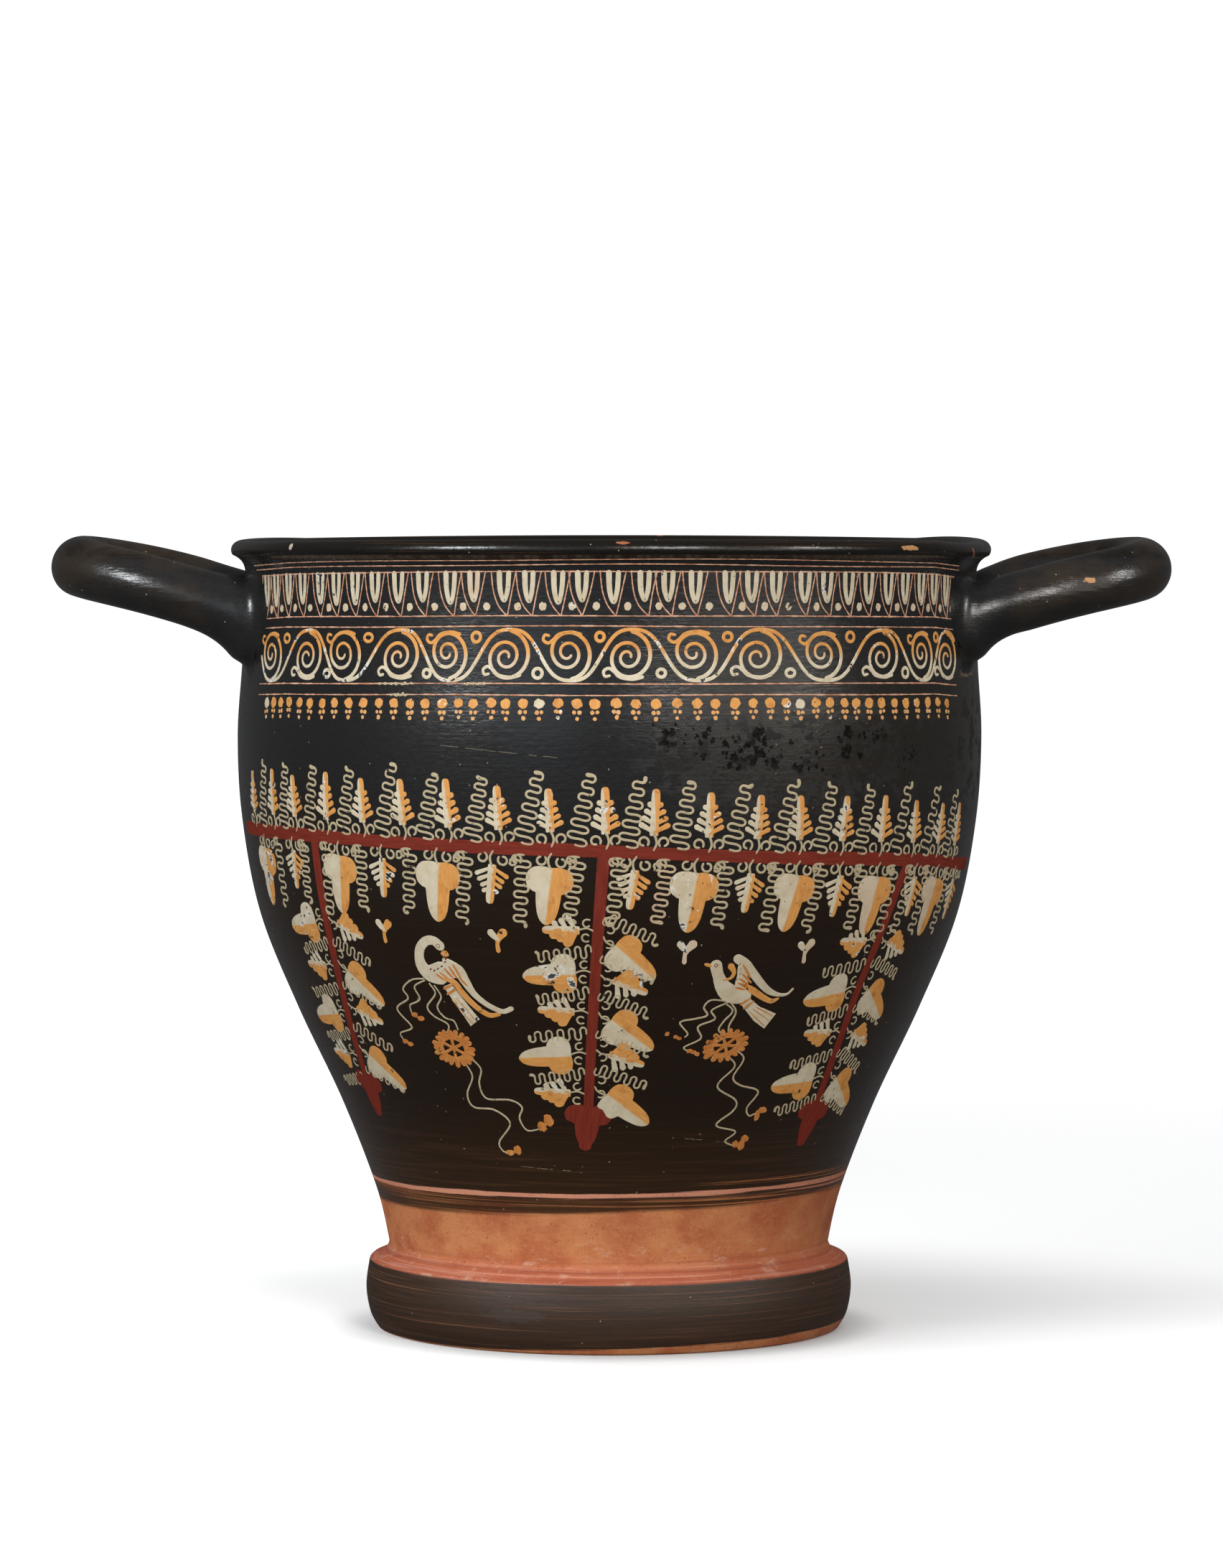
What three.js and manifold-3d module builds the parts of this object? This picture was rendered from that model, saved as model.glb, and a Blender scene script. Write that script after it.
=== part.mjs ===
// Skyphos: a deep two-handled cup of fired clay, thrown on the wheel.
// Millimetres, +Z up. The origin is the centre of the circle that the foot rests on.
// The handles lie along X, and the main painted side faces -Y.

import * as THREE from "three";
import { mergeVertices } from "three/addons/utils/BufferGeometryUtils.js";
import Module from "manifold-3d";

// Outer wall, as [radius, height] from the joint with the foot up to the neck under the lip
const WALL_STATIONS = [
  [55.8, 21.2],
  [59.2, 35.5],
  [67.9, 58.0],
  [79.1, 81.8],
  [88.6, 105.5],
  [93.2, 129.0],
  [94.5, 150.0],
  [93.5, 168.0],
  [92.8, 182.0],
  [92.9, 192.5],
];
const WALL_STEPS = 18;
const WALL_THICKNESS = 4.6;

// Lip: a rolled bead above a hollow neck
const RIM_HEIGHT = 200;
const BEAD_RADIUS = 93.8;
const BEAD_HALF_WIDTH = 2.7;
const BEAD_HALF_HEIGHT = 2.4;
const BEAD_UNDERCUT = Math.PI / 6;
const BEAD_STEPS = 6;

// Ring foot: convex side, sloping top, recessed underside
const FOOT_SIDE = [
  [58.6, 0.0],
  [60.8, 4.0],
  [61.8, 10.5],
  [60.9, 17.4],
];
const FOOT_SIDE_STEPS = 6;
const FOOT_INNER_RADIUS = 48.5;
const RECESS_DEPTH = 9;
const RECESS_RADIUS = 43;

// Inside floor, rising into the wall in a round curve
const FLOOR_HEIGHT = 15;
const FLOOR_FLAT_RADIUS = 36;
const FLOOR_KNEE_INSET = 2;
const FLOOR_STEPS = 5;

// Horseshoe handles, rising outwards, with roots that flare onto the wall
const HANDLE_REACH = 135;
const HANDLE_ROOT_DEPTH = 86;
const HANDLE_HALF_SPREAD = 25;
const HANDLE_SQUARENESS = 2.5;
const HANDLE_END_HEIGHT = 192.6;
const HANDLE_RISE = 0.253;
const BAR_HALF_HEIGHT = 7.5;
const BAR_HALF_WIDTH = 7.1;
const FLARE_LENGTH = 14;
const FLARE_BELOW = 8;
const FLARE_ABOVE = 2.5;
const FLARE_SIDEWAYS = 3.5;
const HANDLE_STEPS = 34;
const BAR_SIDES = 14;
const TANGENT_STEP = 0.01;

// Facets round the axis
const TURNS = 60;

const wasm = await Module();
wasm.setup();

// A spline through [radius, height] stations, sampled evenly along its length
function splinePoints(stations, steps) {
  const points = stations.map(([radius, height]) => new THREE.Vector2(radius, height));
  return new THREE.SplineCurve(points).getSpacedPoints(steps);
}

// The same wall line moved into the clay by a depth, square to the surface
function sunkenWall(line, depth) {
  return line.map((point, index) => {
    const before = line[Math.max(index - 1, 0)];
    const after = line[Math.min(index + 1, line.length - 1)];
    const along = after.clone().sub(before).normalize();
    return new THREE.Vector2(point.x - along.y * depth, point.y + along.x * depth);
  });
}

// Radius of the outer wall at a height, between two points of its line
function wallRadius(line, height) {
  const above = line.findIndex((point) => point.y >= height);
  if (above < 1) {
    return line[above < 0 ? line.length - 1 : 0].x;
  }
  const low = line[above - 1];
  const high = line[above];
  return THREE.MathUtils.mapLinear(height, low.y, high.y, low.x, high.x);
}

// The rolled lip, from the neck outside, over the top, to the inside
function lipPoints() {
  const centre = new THREE.Vector2(BEAD_RADIUS, RIM_HEIGHT - BEAD_HALF_HEIGHT);
  return Array.from({ length: BEAD_STEPS + 1 }, (_, step) => {
    const angle = THREE.MathUtils.lerp(-BEAD_UNDERCUT, Math.PI, step / BEAD_STEPS);
    return new THREE.Vector2(
      centre.x + BEAD_HALF_WIDTH * Math.cos(angle),
      centre.y + BEAD_HALF_HEIGHT * Math.sin(angle),
    );
  });
}

// Inside floor from the lowest point of the inner wall to the axis
function floorPoints(wallFoot) {
  const knee = new THREE.Vector2(wallFoot.x - FLOOR_KNEE_INSET, FLOOR_HEIGHT);
  const flat = new THREE.Vector2(FLOOR_FLAT_RADIUS, FLOOR_HEIGHT);
  const curve = new THREE.QuadraticBezierCurve(wallFoot, knee, flat);
  return [...curve.getPoints(FLOOR_STEPS).slice(1), new THREE.Vector2(0, FLOOR_HEIGHT)];
}

// A closed body turned about Z from a profile that starts and ends on the axis
function turned(profile) {
  return new THREE.LatheGeometry(profile, TURNS).rotateX(Math.PI / 2);
}

// A closed body through rings of equal size, capped flat at both ends
function lofted(rings) {
  const sides = rings[0].length;
  const positions = rings.flat().flatMap((point) => point.toArray());
  const indices = [];
  for (let ring = 0; ring + 1 < rings.length; ring += 1) {
    for (let side = 0; side < sides; side += 1) {
      const a = ring * sides + side;
      const b = ring * sides + ((side + 1) % sides);
      indices.push(a, b, a + sides, b, b + sides, a + sides);
    }
  }
  const last = (rings.length - 1) * sides;
  for (let side = 1; side + 1 < sides; side += 1) {
    indices.push(0, side + 1, side);
    indices.push(last, last + side, last + side + 1);
  }
  const geometry = new THREE.BufferGeometry();
  geometry.setAttribute("position", new THREE.Float32BufferAttribute(positions, 3));
  geometry.setIndex(indices);
  return geometry;
}

// A three.js geometry as a solid that can be joined and cut
function solid(geometry) {
  geometry.deleteAttribute("normal");
  geometry.deleteAttribute("uv");
  const merged = mergeVertices(geometry, 1e-4);
  const index = merged.index.array;
  const triangles = [];
  for (let corner = 0; corner < index.length; corner += 3) {
    const [a, b, c] = index.slice(corner, corner + 3);
    if (a !== b && b !== c && c !== a) {
      triangles.push(a, b, c);
    }
  }
  return new wasm.Manifold(
    new wasm.Mesh({
      numProp: 3,
      vertProperties: new Float32Array(merged.attributes.position.array),
      triVerts: new Uint32Array(triangles),
    }),
  );
}

// A solid back as a three.js geometry
function surface(body) {
  const mesh = body.getMesh();
  const geometry = new THREE.BufferGeometry();
  geometry.setAttribute("position", new THREE.Float32BufferAttribute(mesh.vertProperties, 3));
  geometry.setIndex(Array.from(mesh.triVerts));
  geometry.computeVertexNormals();
  return geometry;
}

// Centre line of the right handle, from the front root at -1 round to the back root at 1
function handleCentre(place) {
  const angle = (Math.PI / 2) * Math.sin((Math.PI / 2) * place);
  const power = 2 / HANDLE_SQUARENESS;
  const outward = Math.pow(Math.max(Math.cos(angle), 0), power);
  const x = THREE.MathUtils.lerp(HANDLE_ROOT_DEPTH, HANDLE_REACH, outward);
  const y = HANDLE_HALF_SPREAD * Math.sign(angle) * Math.pow(Math.abs(Math.sin(angle)), power);
  return new THREE.Vector3(x, y, HANDLE_END_HEIGHT - HANDLE_RISE * (HANDLE_REACH - x));
}

// One ring round the bar, widened where it comes close to the wall
function handleRing(place, wallLine) {
  const centre = handleCentre(place);
  const ahead = handleCentre(Math.min(place + TANGENT_STEP, 1));
  const behind = handleCentre(Math.max(place - TANGENT_STEP, -1));
  const along = ahead.sub(behind).normalize();
  const up = new THREE.Vector3(-HANDLE_RISE, 0, 1).normalize();
  const sideways = new THREE.Vector3().crossVectors(up, along).normalize();
  const gap = Math.hypot(centre.x, centre.y) - wallRadius(wallLine, centre.z);
  const flare = Math.pow(THREE.MathUtils.clamp(1 - gap / FLARE_LENGTH, 0, 1), 3);
  return Array.from({ length: BAR_SIDES }, (_, side) => {
    const turn = (2 * Math.PI * side) / BAR_SIDES;
    const flareUp = Math.sin(turn) < 0 ? FLARE_BELOW : FLARE_ABOVE;
    const height = (BAR_HALF_HEIGHT + flare * flareUp) * Math.sin(turn);
    const width = (BAR_HALF_WIDTH + flare * FLARE_SIDEWAYS) * Math.cos(turn);
    return centre.clone().addScaledVector(up, height).addScaledVector(sideways, width);
  });
}

function handle(wallLine) {
  const rings = Array.from({ length: HANDLE_STEPS + 1 }, (_, step) =>
    handleRing((2 * step) / HANDLE_STEPS - 1, wallLine),
  );
  return lofted(rings);
}

// Cup without handles: underside, foot, outer wall, lip, inner wall, floor
const outerWall = splinePoints(WALL_STATIONS, WALL_STEPS);
const innerWall = sunkenWall(outerWall, WALL_THICKNESS).reverse();
const cupProfile = [
  new THREE.Vector2(0, RECESS_DEPTH),
  new THREE.Vector2(RECESS_RADIUS, RECESS_DEPTH),
  new THREE.Vector2(FOOT_INNER_RADIUS, 0),
  ...splinePoints(FOOT_SIDE, FOOT_SIDE_STEPS),
  ...outerWall,
  ...lipPoints(),
  ...innerWall,
  ...floorPoints(innerWall[innerWall.length - 1]),
];
const cup = solid(turned(cupProfile));

// The handles reach half way into the wall
const wallCore = sunkenWall(outerWall, WALL_THICKNESS / 2);
const core = solid(
  turned([
    new THREE.Vector2(0, wallCore[0].y),
    ...wallCore,
    new THREE.Vector2(0, wallCore[wallCore.length - 1].y),
  ]),
);
const rightHandle = solid(handle(outerWall)).subtract(core);
const leftHandle = solid(handle(outerWall).rotateZ(Math.PI)).subtract(core);

const blackGloss = new THREE.MeshStandardMaterial({
  color: 0x1f1c19,
  roughness: 0.35,
  metalness: 0,
});

const skyphos = new THREE.Mesh(surface(cup.add(rightHandle).add(leftHandle)), blackGloss);
skyphos.name = "skyphos";

const part = new THREE.Group();
part.add(skyphos);

export default part;
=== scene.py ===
import math

import bpy
import numpy as np
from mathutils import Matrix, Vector
from mathutils.geometry import delaunay_2d_cdt
from mathutils.kdtree import KDTree


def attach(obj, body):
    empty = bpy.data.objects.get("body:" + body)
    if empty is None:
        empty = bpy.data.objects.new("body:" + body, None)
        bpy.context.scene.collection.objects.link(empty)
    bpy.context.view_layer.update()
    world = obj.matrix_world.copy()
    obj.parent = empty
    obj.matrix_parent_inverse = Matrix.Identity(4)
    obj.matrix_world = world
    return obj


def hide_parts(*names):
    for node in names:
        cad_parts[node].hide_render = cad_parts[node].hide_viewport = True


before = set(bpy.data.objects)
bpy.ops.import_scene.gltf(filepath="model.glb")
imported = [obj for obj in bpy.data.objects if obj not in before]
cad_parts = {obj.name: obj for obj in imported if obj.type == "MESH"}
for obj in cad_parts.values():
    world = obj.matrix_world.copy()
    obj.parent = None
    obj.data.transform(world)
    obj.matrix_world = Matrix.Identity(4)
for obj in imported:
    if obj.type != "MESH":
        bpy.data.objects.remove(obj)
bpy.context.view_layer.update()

# Shapes are drawn in millimetres and become metres when a mesh is made.
MM = 0.001
CUP_SHARP_ANGLE = math.radians(50)
PAINT_SHARP_ANGLE = math.radians(35)
hand = np.random.default_rng(11)

# Clay body, with the sizes of the solid that it stands for
WALL_STATIONS = (
    (55.8, 21.2),
    (59.2, 35.5),
    (67.9, 58.0),
    (79.1, 81.8),
    (88.6, 105.5),
    (93.2, 129.0),
    (94.5, 150.0),
    (93.5, 168.0),
    (92.8, 182.0),
    (92.9, 192.5),
)
WALL_THICKNESS = 4.6
RIM_HEIGHT = 200.0
BEAD_RADIUS = 93.8
BEAD_HALF_WIDTH = 2.7
BEAD_HALF_HEIGHT = 2.4
BEAD_UNDERCUT = math.pi / 6
NECK_HOLLOW = (93.2, 195.2)
FOOT_SIDE = ((58.6, 0.0), (60.8, 4.0), (61.8, 10.5), (60.9, 17.4))
FOOT_SHOULDER = (60.9, 17.9)
FOOT_EDGE = 0.7
FOOT_MIDDLE_RADIUS = 53.0
FOOT_INNER_RADIUS = 48.5
LEDGE_EDGE = (59.6, 18.3)
LEDGE_BEND = (56.4, 19.0)
RECESS_DEPTH = 9.0
RECESS_RADIUS = 43.0
RECESS_FIRST_RING = 8.0
RECESS_BEND_RADIUS = 47.0
RECESS_END_HEIGHT = 0.8
UNDERSIDE_RADIUS = 59.0
UNDERSIDE_TOP = 9.1
FLOOR_HEIGHT = 15.0
INSIDE_BOTTOM = 14.5
FLOOR_FLAT_RADIUS = 36.0
FLOOR_RINGS = (28.0, 7.0)
FLOOR_KNEE_INSET = 2.0
TURNS = 288

# Horseshoe handles
HANDLE_REACH = 135.0
HANDLE_ROOT_DEPTH = 86.0
HANDLE_HALF_SPREAD = 25.0
HANDLE_SQUARENESS = 2.5
HANDLE_END_HEIGHT = 192.6
HANDLE_RISE = 0.253
BAR_HALF_HEIGHT = 7.5
BAR_HALF_WIDTH = 7.1
FLARE_LENGTH_LEFT = 19.0
FLARE_LENGTH_RIGHT = 13.0
FLARE_BELOW_LEFT = 6.0
FLARE_BELOW_RIGHT = 5.2
FLARE_ABOVE = 2.2
FLARE_SIDEWAYS = 1.5
FLARE_POWER = 3.4
HANDLE_ARCH = 1.4
HANDLE_SWING = math.radians(0.9)
HANDLE_STEPS = 110
BAR_SIDES = 44
TANGENT_STEP = 0.01
CORE_TURNS = 96

# Smoothing where the handles meet the wall: the zone round the roots, and how far off the wall points lie
ROOT_SIDE = 70.0
ROOT_LOW = 150.0
ROOT_HIGH = 196.0
ON_WALL = 0.08
ON_HANDLE = 0.2
BEHIND_WALL = -0.5
ROOT_SMOOTHING_REACH = 6.5
ROOT_SMOOTHING_ROUNDS = 60
ROOT_SMOOTHING_SHARE = 0.5

# Hand-made irregularity: the cup leans, its rim dips and its handles roll a little, each over a zone
LEAN = 0.65
RIM_DIP = 0.7
RIM_TILT = 0.8
HANDLE_ROLL_RIGHT = 0.06
HANDLE_ROLL_LEFT = 0.028
ROLL_ZONE = (80.0, 105.0)
LEFT_END_LIFT = 0.8
LEFT_LIFT_ZONE = (95.0, 135.0)
RIGHT_HANDLE_LIFT = 0.5
RIGHT_LIFT_ZONE = (93.0, 101.0)
DENT = 0.16
DENT_HEIGHTS = (20.0, 45.0)
DENT_RADII = (112.0, 100.0)

# Paint film: how far each coat stands on the wall and how far its edge sinks in
PAINT_LIFT = 0.075
PAINT_SINK = -0.05
PATCH_LIFT = 1.15 * PAINT_LIFT
PATCH_EDGE_LIFT = 0.6 * PAINT_LIFT
SCRATCH_LIFT = 0.03
BAND_LIFT = 0.06
STEM_LIFT = 0.065
WREATH_LIFT = 0.07
PETAL_LIFT = 0.08
WING_LIFT = 0.08
BODY_LIFT = 0.085
SPOKE_LIFT = 0.09
CRUST_LIFT = 0.09
FEATHER_LIFT = 0.095
TOP_LIFT = 0.115
PAINT_BEVEL = 0.14
BEVEL_SHARE = 0.3
COLUMN_SPACING = 1.6
PATCH_SPACING = 1.5
PATCH_ROW_SHARE = 0.87
PATCH_CLEARANCE = 0.4
EDGE_SPACING = 1.0
DOT_POINTS = 14
BRUSH_SHIFT = 40
ROUND_END = ((0.98, 0.2), (0.87, 0.5), (0.5, 0.87))
CREAM = -1.0
ORANGE = 1.0

# Painted bands, by height on the wall and by angle from the front to their ends
NECK_LINES = (195.2, 194.0)
NECK_LEFT = -72.4
NECK_RIGHT = 67.8
NECK_LINE_WIDTH = 0.35
PANEL_LEFT = -68.2
PANEL_RIGHT = 66.2
LINE_WIDTH = 0.4
BAND_SAG = 1.0

# Tongues in eggs
OVOLO_TOP = 192.4
OVOLO_BOTTOM = 181.8
OVOLO_PITCH = 4.2
OVOLO_MARGINS = (1.4, 0.8)
OVOLO_DOT_RISE = 2.3
OVOLO_DOT_TINT = -0.12
EGG_LINE = 0.42

# Running spirals, with the angle of each and its radius after each quarter turn
SCROLL_TOP = 179.3
SCROLL_BOTTOM = 165.6
SCROLL_PITCH = 9.33
SCROLL_STROKE = 1.0
SCROLL_FADE = 11.0
ROUNDED_WAVE = 0.7
SPIRALS = (-63.6, -52.2, -43.5, -32.5, -24.2, -14.9, -5.7, 3.2, 13.0, 22.8, 33.7, 45.5, 55.2, 63.2)
SPIRAL_RADII = (6.6, 5.2, 5.0, 3.7, 3.6, 2.5, 2.4, 1.7, 1.3, 0.5)
SPIRAL_TURN = 780.0
SPIRAL_START = 80.0
SCROLL_HOOK = (
    (2.3, 11.9), (0.0, 12.4), (-2.9, 11.9), (-4.3, 10.6),
    (-5.6, 9.8), (-6.8, 10.5), (-6.5, 11.7), (-5.5, 11.6),
)
SCROLL_RING = (7.0, 11.2)

# Dot row, with the three small dots under each large one
DOT_LINE = 162.9
DOT_HEIGHT = 160.9
DOT_LEFT = -64.7
DOT_RIGHT = 63.6
DOT_PITCH = 2.75
DOT_DRIFT = 0.25
DOT_TINT = 0.2
WORN_DOTS = 0.08
SMALL_DOTS = ((-0.55, -2.1), (0.6, -2.05), (0.05, -3.5))
SMALL_DOT_TINT = 0.1

# Vine band, with the angles of the leaves on it and under it
VINE_HEIGHT = 125.4
VINE_TILT = 0.0577
VINE_BEND = 0.00027
VINE_HALF_ANGLE = 77.0
VINE_BAND_WIDTH = 3.3
BAND_OVERLAP = 0.2
VINE_LEAN = -12.0
HANGING_LEAN = -6.0
TENDRIL_STROKE = 0.7
UPPER_TENDRIL = (2.6, 1.3)
LOWER_TENDRIL = (2.0, 1.5)
CURL_STROKE = 0.68
UPPER_LEAVES = (
    -70.7, -62.6, -55.6, -47.6, -39.7, -32.1, -24.3, -16.4, -8.6, -0.5,
    6.5, 14.8, 22.3, 29.5, 37.1, 45.2, 53.2, 60.8, 67.7,
)
LOWER_IVY = (-67.3, -45.2, -26.4, -8.5, 13.3, 29.9, 45.8, 62.6)
LOWER_VINE = (-57.1, -36.3, -17.4, 4.1, 22.0, 37.9, 55.4, 70.4)

# Hanging stems as (angle, height) from the vine band down to the finial
STEMS = (
    ((-51.0, 126.5), (-51.4, 103.0), (-53.5, 86.1), (-56.6, 67.5)),
    ((-0.8, 124.0), (-1.9, 100.6), (-2.8, 83.0), (-4.0, 62.0)),
    ((52.4, 120.5), (50.0, 110.0), (47.6, 89.1), (48.0, 61.0)),
)
STEM_WIDTH = 3.1
STEM_TAPER = 0.6
STEM_IVY_SCALE = 0.88
STEM_TENDRIL_STROKE = 0.6
STEM_TENDRIL = (1.7, 1.35)
STEM_CURL_STROKE = 0.56
CURL_OFFSET = 1.7
FINIAL_LEAN = -6.0

# Half outlines of the leaves, from the stalk to the tip
IVY_HALF = (
    (2.0, -0.2), (4.3, 0.2), (5.7, 1.6), (6.0, 3.5), (5.4, 5.3), (4.1, 6.3),
    (3.3, 6.6), (3.15, 7.7), (2.95, 9.6), (2.5, 11.9), (1.6, 13.8),
)
IVY_TIP = 14.8
FINIAL_HALF = (
    (2.4, -0.4), (4.7, 0.4), (5.7, 2.3), (5.0, 4.2), (3.2, 5.0),
    (2.9, 6.2), (2.4, 8.6), (1.6, 10.4), (1.3, 11.6),
)
FINIAL_TIP = 12.2

# Lobed leaves, a tongue with fingers, and the leaves of the stems as stalk, height, half width and fingers
VINE_LEAF_HEIGHT = 11.0
VINE_LEAF_HALF = 3.6
VINE_STALK = 2.9
HANGING_LEAF_HEIGHT = 10.2
HANGING_LEAF_HALF = 4.3
HANGING_STALK = 2.7
VINE_FINGERS = 4
STEM_LEAF = (3.2, 9.0, 4.2, 3)
STEM_STALK = 3.5
TONGUE_HALF = 1.05
TOP_FINGER = 0.4
FINGER_RISE = 0.42
FINGERED_SHARE = 0.68
MERGED_FINGER = 1.35

# Ribbons, wreaths, birds and buds
RIBBON_WIDTHS = (0.54, 0.54 * 1.15, 0.54 * 0.9)
RIBBON_TINT = -0.6
WREATH_TINT = 0.6
TAIL_TINT = -0.2
BUDS = ((-38.1, 105.5, ORANGE), (-17.7, 104.1, ORANGE), (12.2, 101.4, CREAM), (33.1, 100.7, CREAM))

# Wear: scratches from place to place in dashes, chalky crusts along lines, and clusters of dull spots
SCRATCHES = (
    ((-26.5, 47.2), (-5.5, 45.6), 7),
    ((-30.5, 151.5), (-7.5, 148.0), 4),
    ((16.0, 54.0), (27.0, 52.5), 3),
)
SCRATCH_WIDTH = 0.08
DEPOSITS = (
    (-36.5, -30.5, SCROLL_BOTTOM),
    (-34.5, -31.5, DOT_LINE),
    (-22.0, -18.5, SCROLL_BOTTOM),
)
STAIN_CLUSTERS = (
    (9.3, 153.0), (14.3, 152.5), (19.0, 150.8), (18.2, 146.8), (22.2, 152.0),
    (24.9, 147.8), (31.2, 146.5), (37.4, 149.8), (43.0, 152.0), (50.4, 148.0),
)
STAINS_PER_CLUSTER = 16
STAIN_SPREAD = (1.4, 1.8)
STAIN_SIZE = 0.42


def blend(low, high, share):
    return low + (high - low) * share


def ramp(low, high, value):
    """Zero at the low value and one at the high value, straight between them."""
    return np.clip((value - low) / (high - low), 0.0, 1.0)


def smooth_step(low, high, value):
    share = ramp(low, high, value)
    return share * share * (3.0 - 2.0 * share)


def spline(points, steps, closed=False):
    """Points along a smooth curve through the given points."""
    points = np.asarray(points, float)
    if closed:
        before, start, end, after = (np.roll(points, shift, 0) for shift in (1, 0, -1, -2))
    else:
        padded = np.vstack([points[:1], points, points[-1:]])
        before, start, end, after = padded[:-3], padded[1:-2], padded[2:-1], padded[3:]
    t = np.linspace(0.0, 1.0, steps, endpoint=False)[None, :, None]
    before, start, end, after = (part[:, None, :] for part in (before, start, end, after))
    linear = (end - before) * t
    square = (2 * before - 5 * start + 4 * end - after) * t**2
    cube = (3 * start - before - 3 * end + after) * t**3
    curve = 0.5 * (2 * start + linear + square + cube)
    curve = curve.reshape(-1, points.shape[1])
    return curve if closed else np.vstack([curve, points[-1:]])


def bezier(start, control, end, steps):
    t = np.linspace(0.0, 1.0, steps + 1)[:, None]
    start, control, end = (np.asarray(point, float) for point in (start, control, end))
    return start * (1 - t) ** 2 + 2 * control * t * (1 - t) + end * t**2


# Wall line and its frame
def bead_arc(steps):
    """The rolled lip, from the neck outside, over the top, to the inside."""
    angle = np.linspace(-BEAD_UNDERCUT, math.pi, steps + 1)
    radius = BEAD_RADIUS + BEAD_HALF_WIDTH * np.cos(angle)
    height = RIM_HEIGHT - BEAD_HALF_HEIGHT + BEAD_HALF_HEIGHT * np.sin(angle)
    return np.column_stack([radius, height])


def sunken(line, depth):
    """The same line moved into the clay, square to the surface."""
    along = np.gradient(line, axis=0)
    along /= np.linalg.norm(along, axis=1)[:, None]
    return line + depth * np.column_stack([-along[:, 1], along[:, 0]])


wall_line = spline(WALL_STATIONS, 14)
neck_line = bezier(WALL_STATIONS[-1], NECK_HOLLOW, bead_arc(14)[0], 10)
outer_line = np.vstack([wall_line, neck_line[1:]])
outer_length = np.concatenate([[0.0], np.cumsum(np.linalg.norm(np.diff(outer_line, axis=0), axis=1))])
outer_slope = np.gradient(outer_line, outer_length, axis=0)


def wall_radius(length):
    return np.interp(length, outer_length, outer_line[:, 0])


def length_at(height):
    """Length along the wall line, from the foot joint up, at a height."""
    return np.interp(height, outer_line[:, 1], outer_length)


def warp(points):
    """Lean, dip, roll and shallow dents of a cup made by hand."""
    x, y, z = np.asarray(points, float).T
    up = z / RIM_HEIGHT
    depth = y / BEAD_RADIUS
    turn = np.arctan2(x, -y)
    dent = DENT * up * (np.sin(2 * turn + 0.7) + 0.5 * np.sin(5 * turn + 4.5 * up))
    dent *= smooth_step(*DENT_HEIGHTS, z) * smooth_step(*DENT_RADII, np.hypot(x, y))
    roll = np.where(x > 0, HANDLE_ROLL_RIGHT, HANDLE_ROLL_LEFT)
    lifted = z + up**4 * (RIM_DIP * depth**2 + RIM_TILT * depth)
    lifted += roll * y * ramp(*ROLL_ZONE, np.abs(x))
    lifted += LEFT_END_LIFT * ramp(*LEFT_LIFT_ZONE, -x)
    lifted += RIGHT_HANDLE_LIFT * ramp(*RIGHT_LIFT_ZONE, x)
    return np.column_stack([
        x + LEAN * up**3 + dent * np.sin(turn),
        y - dent * np.cos(turn),
        lifted,
    ])


def wall_point(angle, length, lift):
    """Points on the wall, by angle from the front to the right, wall length and lift off the surface."""
    out_r = np.interp(length, outer_length, outer_slope[:, 1])
    out_z = -np.interp(length, outer_length, outer_slope[:, 0])
    radius = wall_radius(length) + lift * out_r
    height = np.interp(length, outer_length, outer_line[:, 1]) + lift * out_z
    return warp(np.column_stack([radius * np.sin(angle), -radius * np.cos(angle), height]))


# Clay body
def make_object(name, points, faces):
    mesh = bpy.data.meshes.new(name)
    mesh.from_pydata((np.asarray(points) * MM).tolist(), [], faces)
    mesh.update()
    mesh.shade_smooth()
    made = bpy.data.objects.new(name, mesh)
    bpy.context.scene.collection.objects.link(made)
    return made


def ring_faces(rings, sides):
    """Four-cornered faces between neighbouring rings of equally many points."""
    faces = []
    for ring in range(rings - 1):
        for side in range(sides):
            here = ring * sides + side
            beside = ring * sides + (side + 1) % sides
            faces.append((here, beside, beside + sides, here + sides))
    return faces


def turned(name, profile, turns):
    """A closed body turned about Z from a profile that starts and ends on the axis."""
    ring = profile[1:-1]
    angle = np.linspace(0.0, 2 * math.pi, turns, endpoint=False)
    radius = ring[:, 0][:, None]
    height = np.repeat(ring[:, 1][:, None], turns, axis=1)
    points = np.stack([radius * np.sin(angle), -radius * np.cos(angle), height], axis=2).reshape(-1, 3)
    low = [0.0, 0.0, profile[0, 1]]
    high = [0.0, 0.0, profile[-1, 1]]
    points = np.vstack([points, [low, high]])
    faces = ring_faces(len(ring), turns)
    bottom = len(ring) * turns
    last = (len(ring) - 1) * turns
    for turn in range(turns):
        beside = (turn + 1) % turns
        faces.append((bottom, beside, turn))
        faces.append((bottom + 1, last + turn, last + beside))
    return make_object(name, points, faces)


def flat_rings(first, last, count, height):
    """Points of a profile along a level floor."""
    return np.column_stack([np.linspace(first, last, count), np.full(count, height)])


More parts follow.
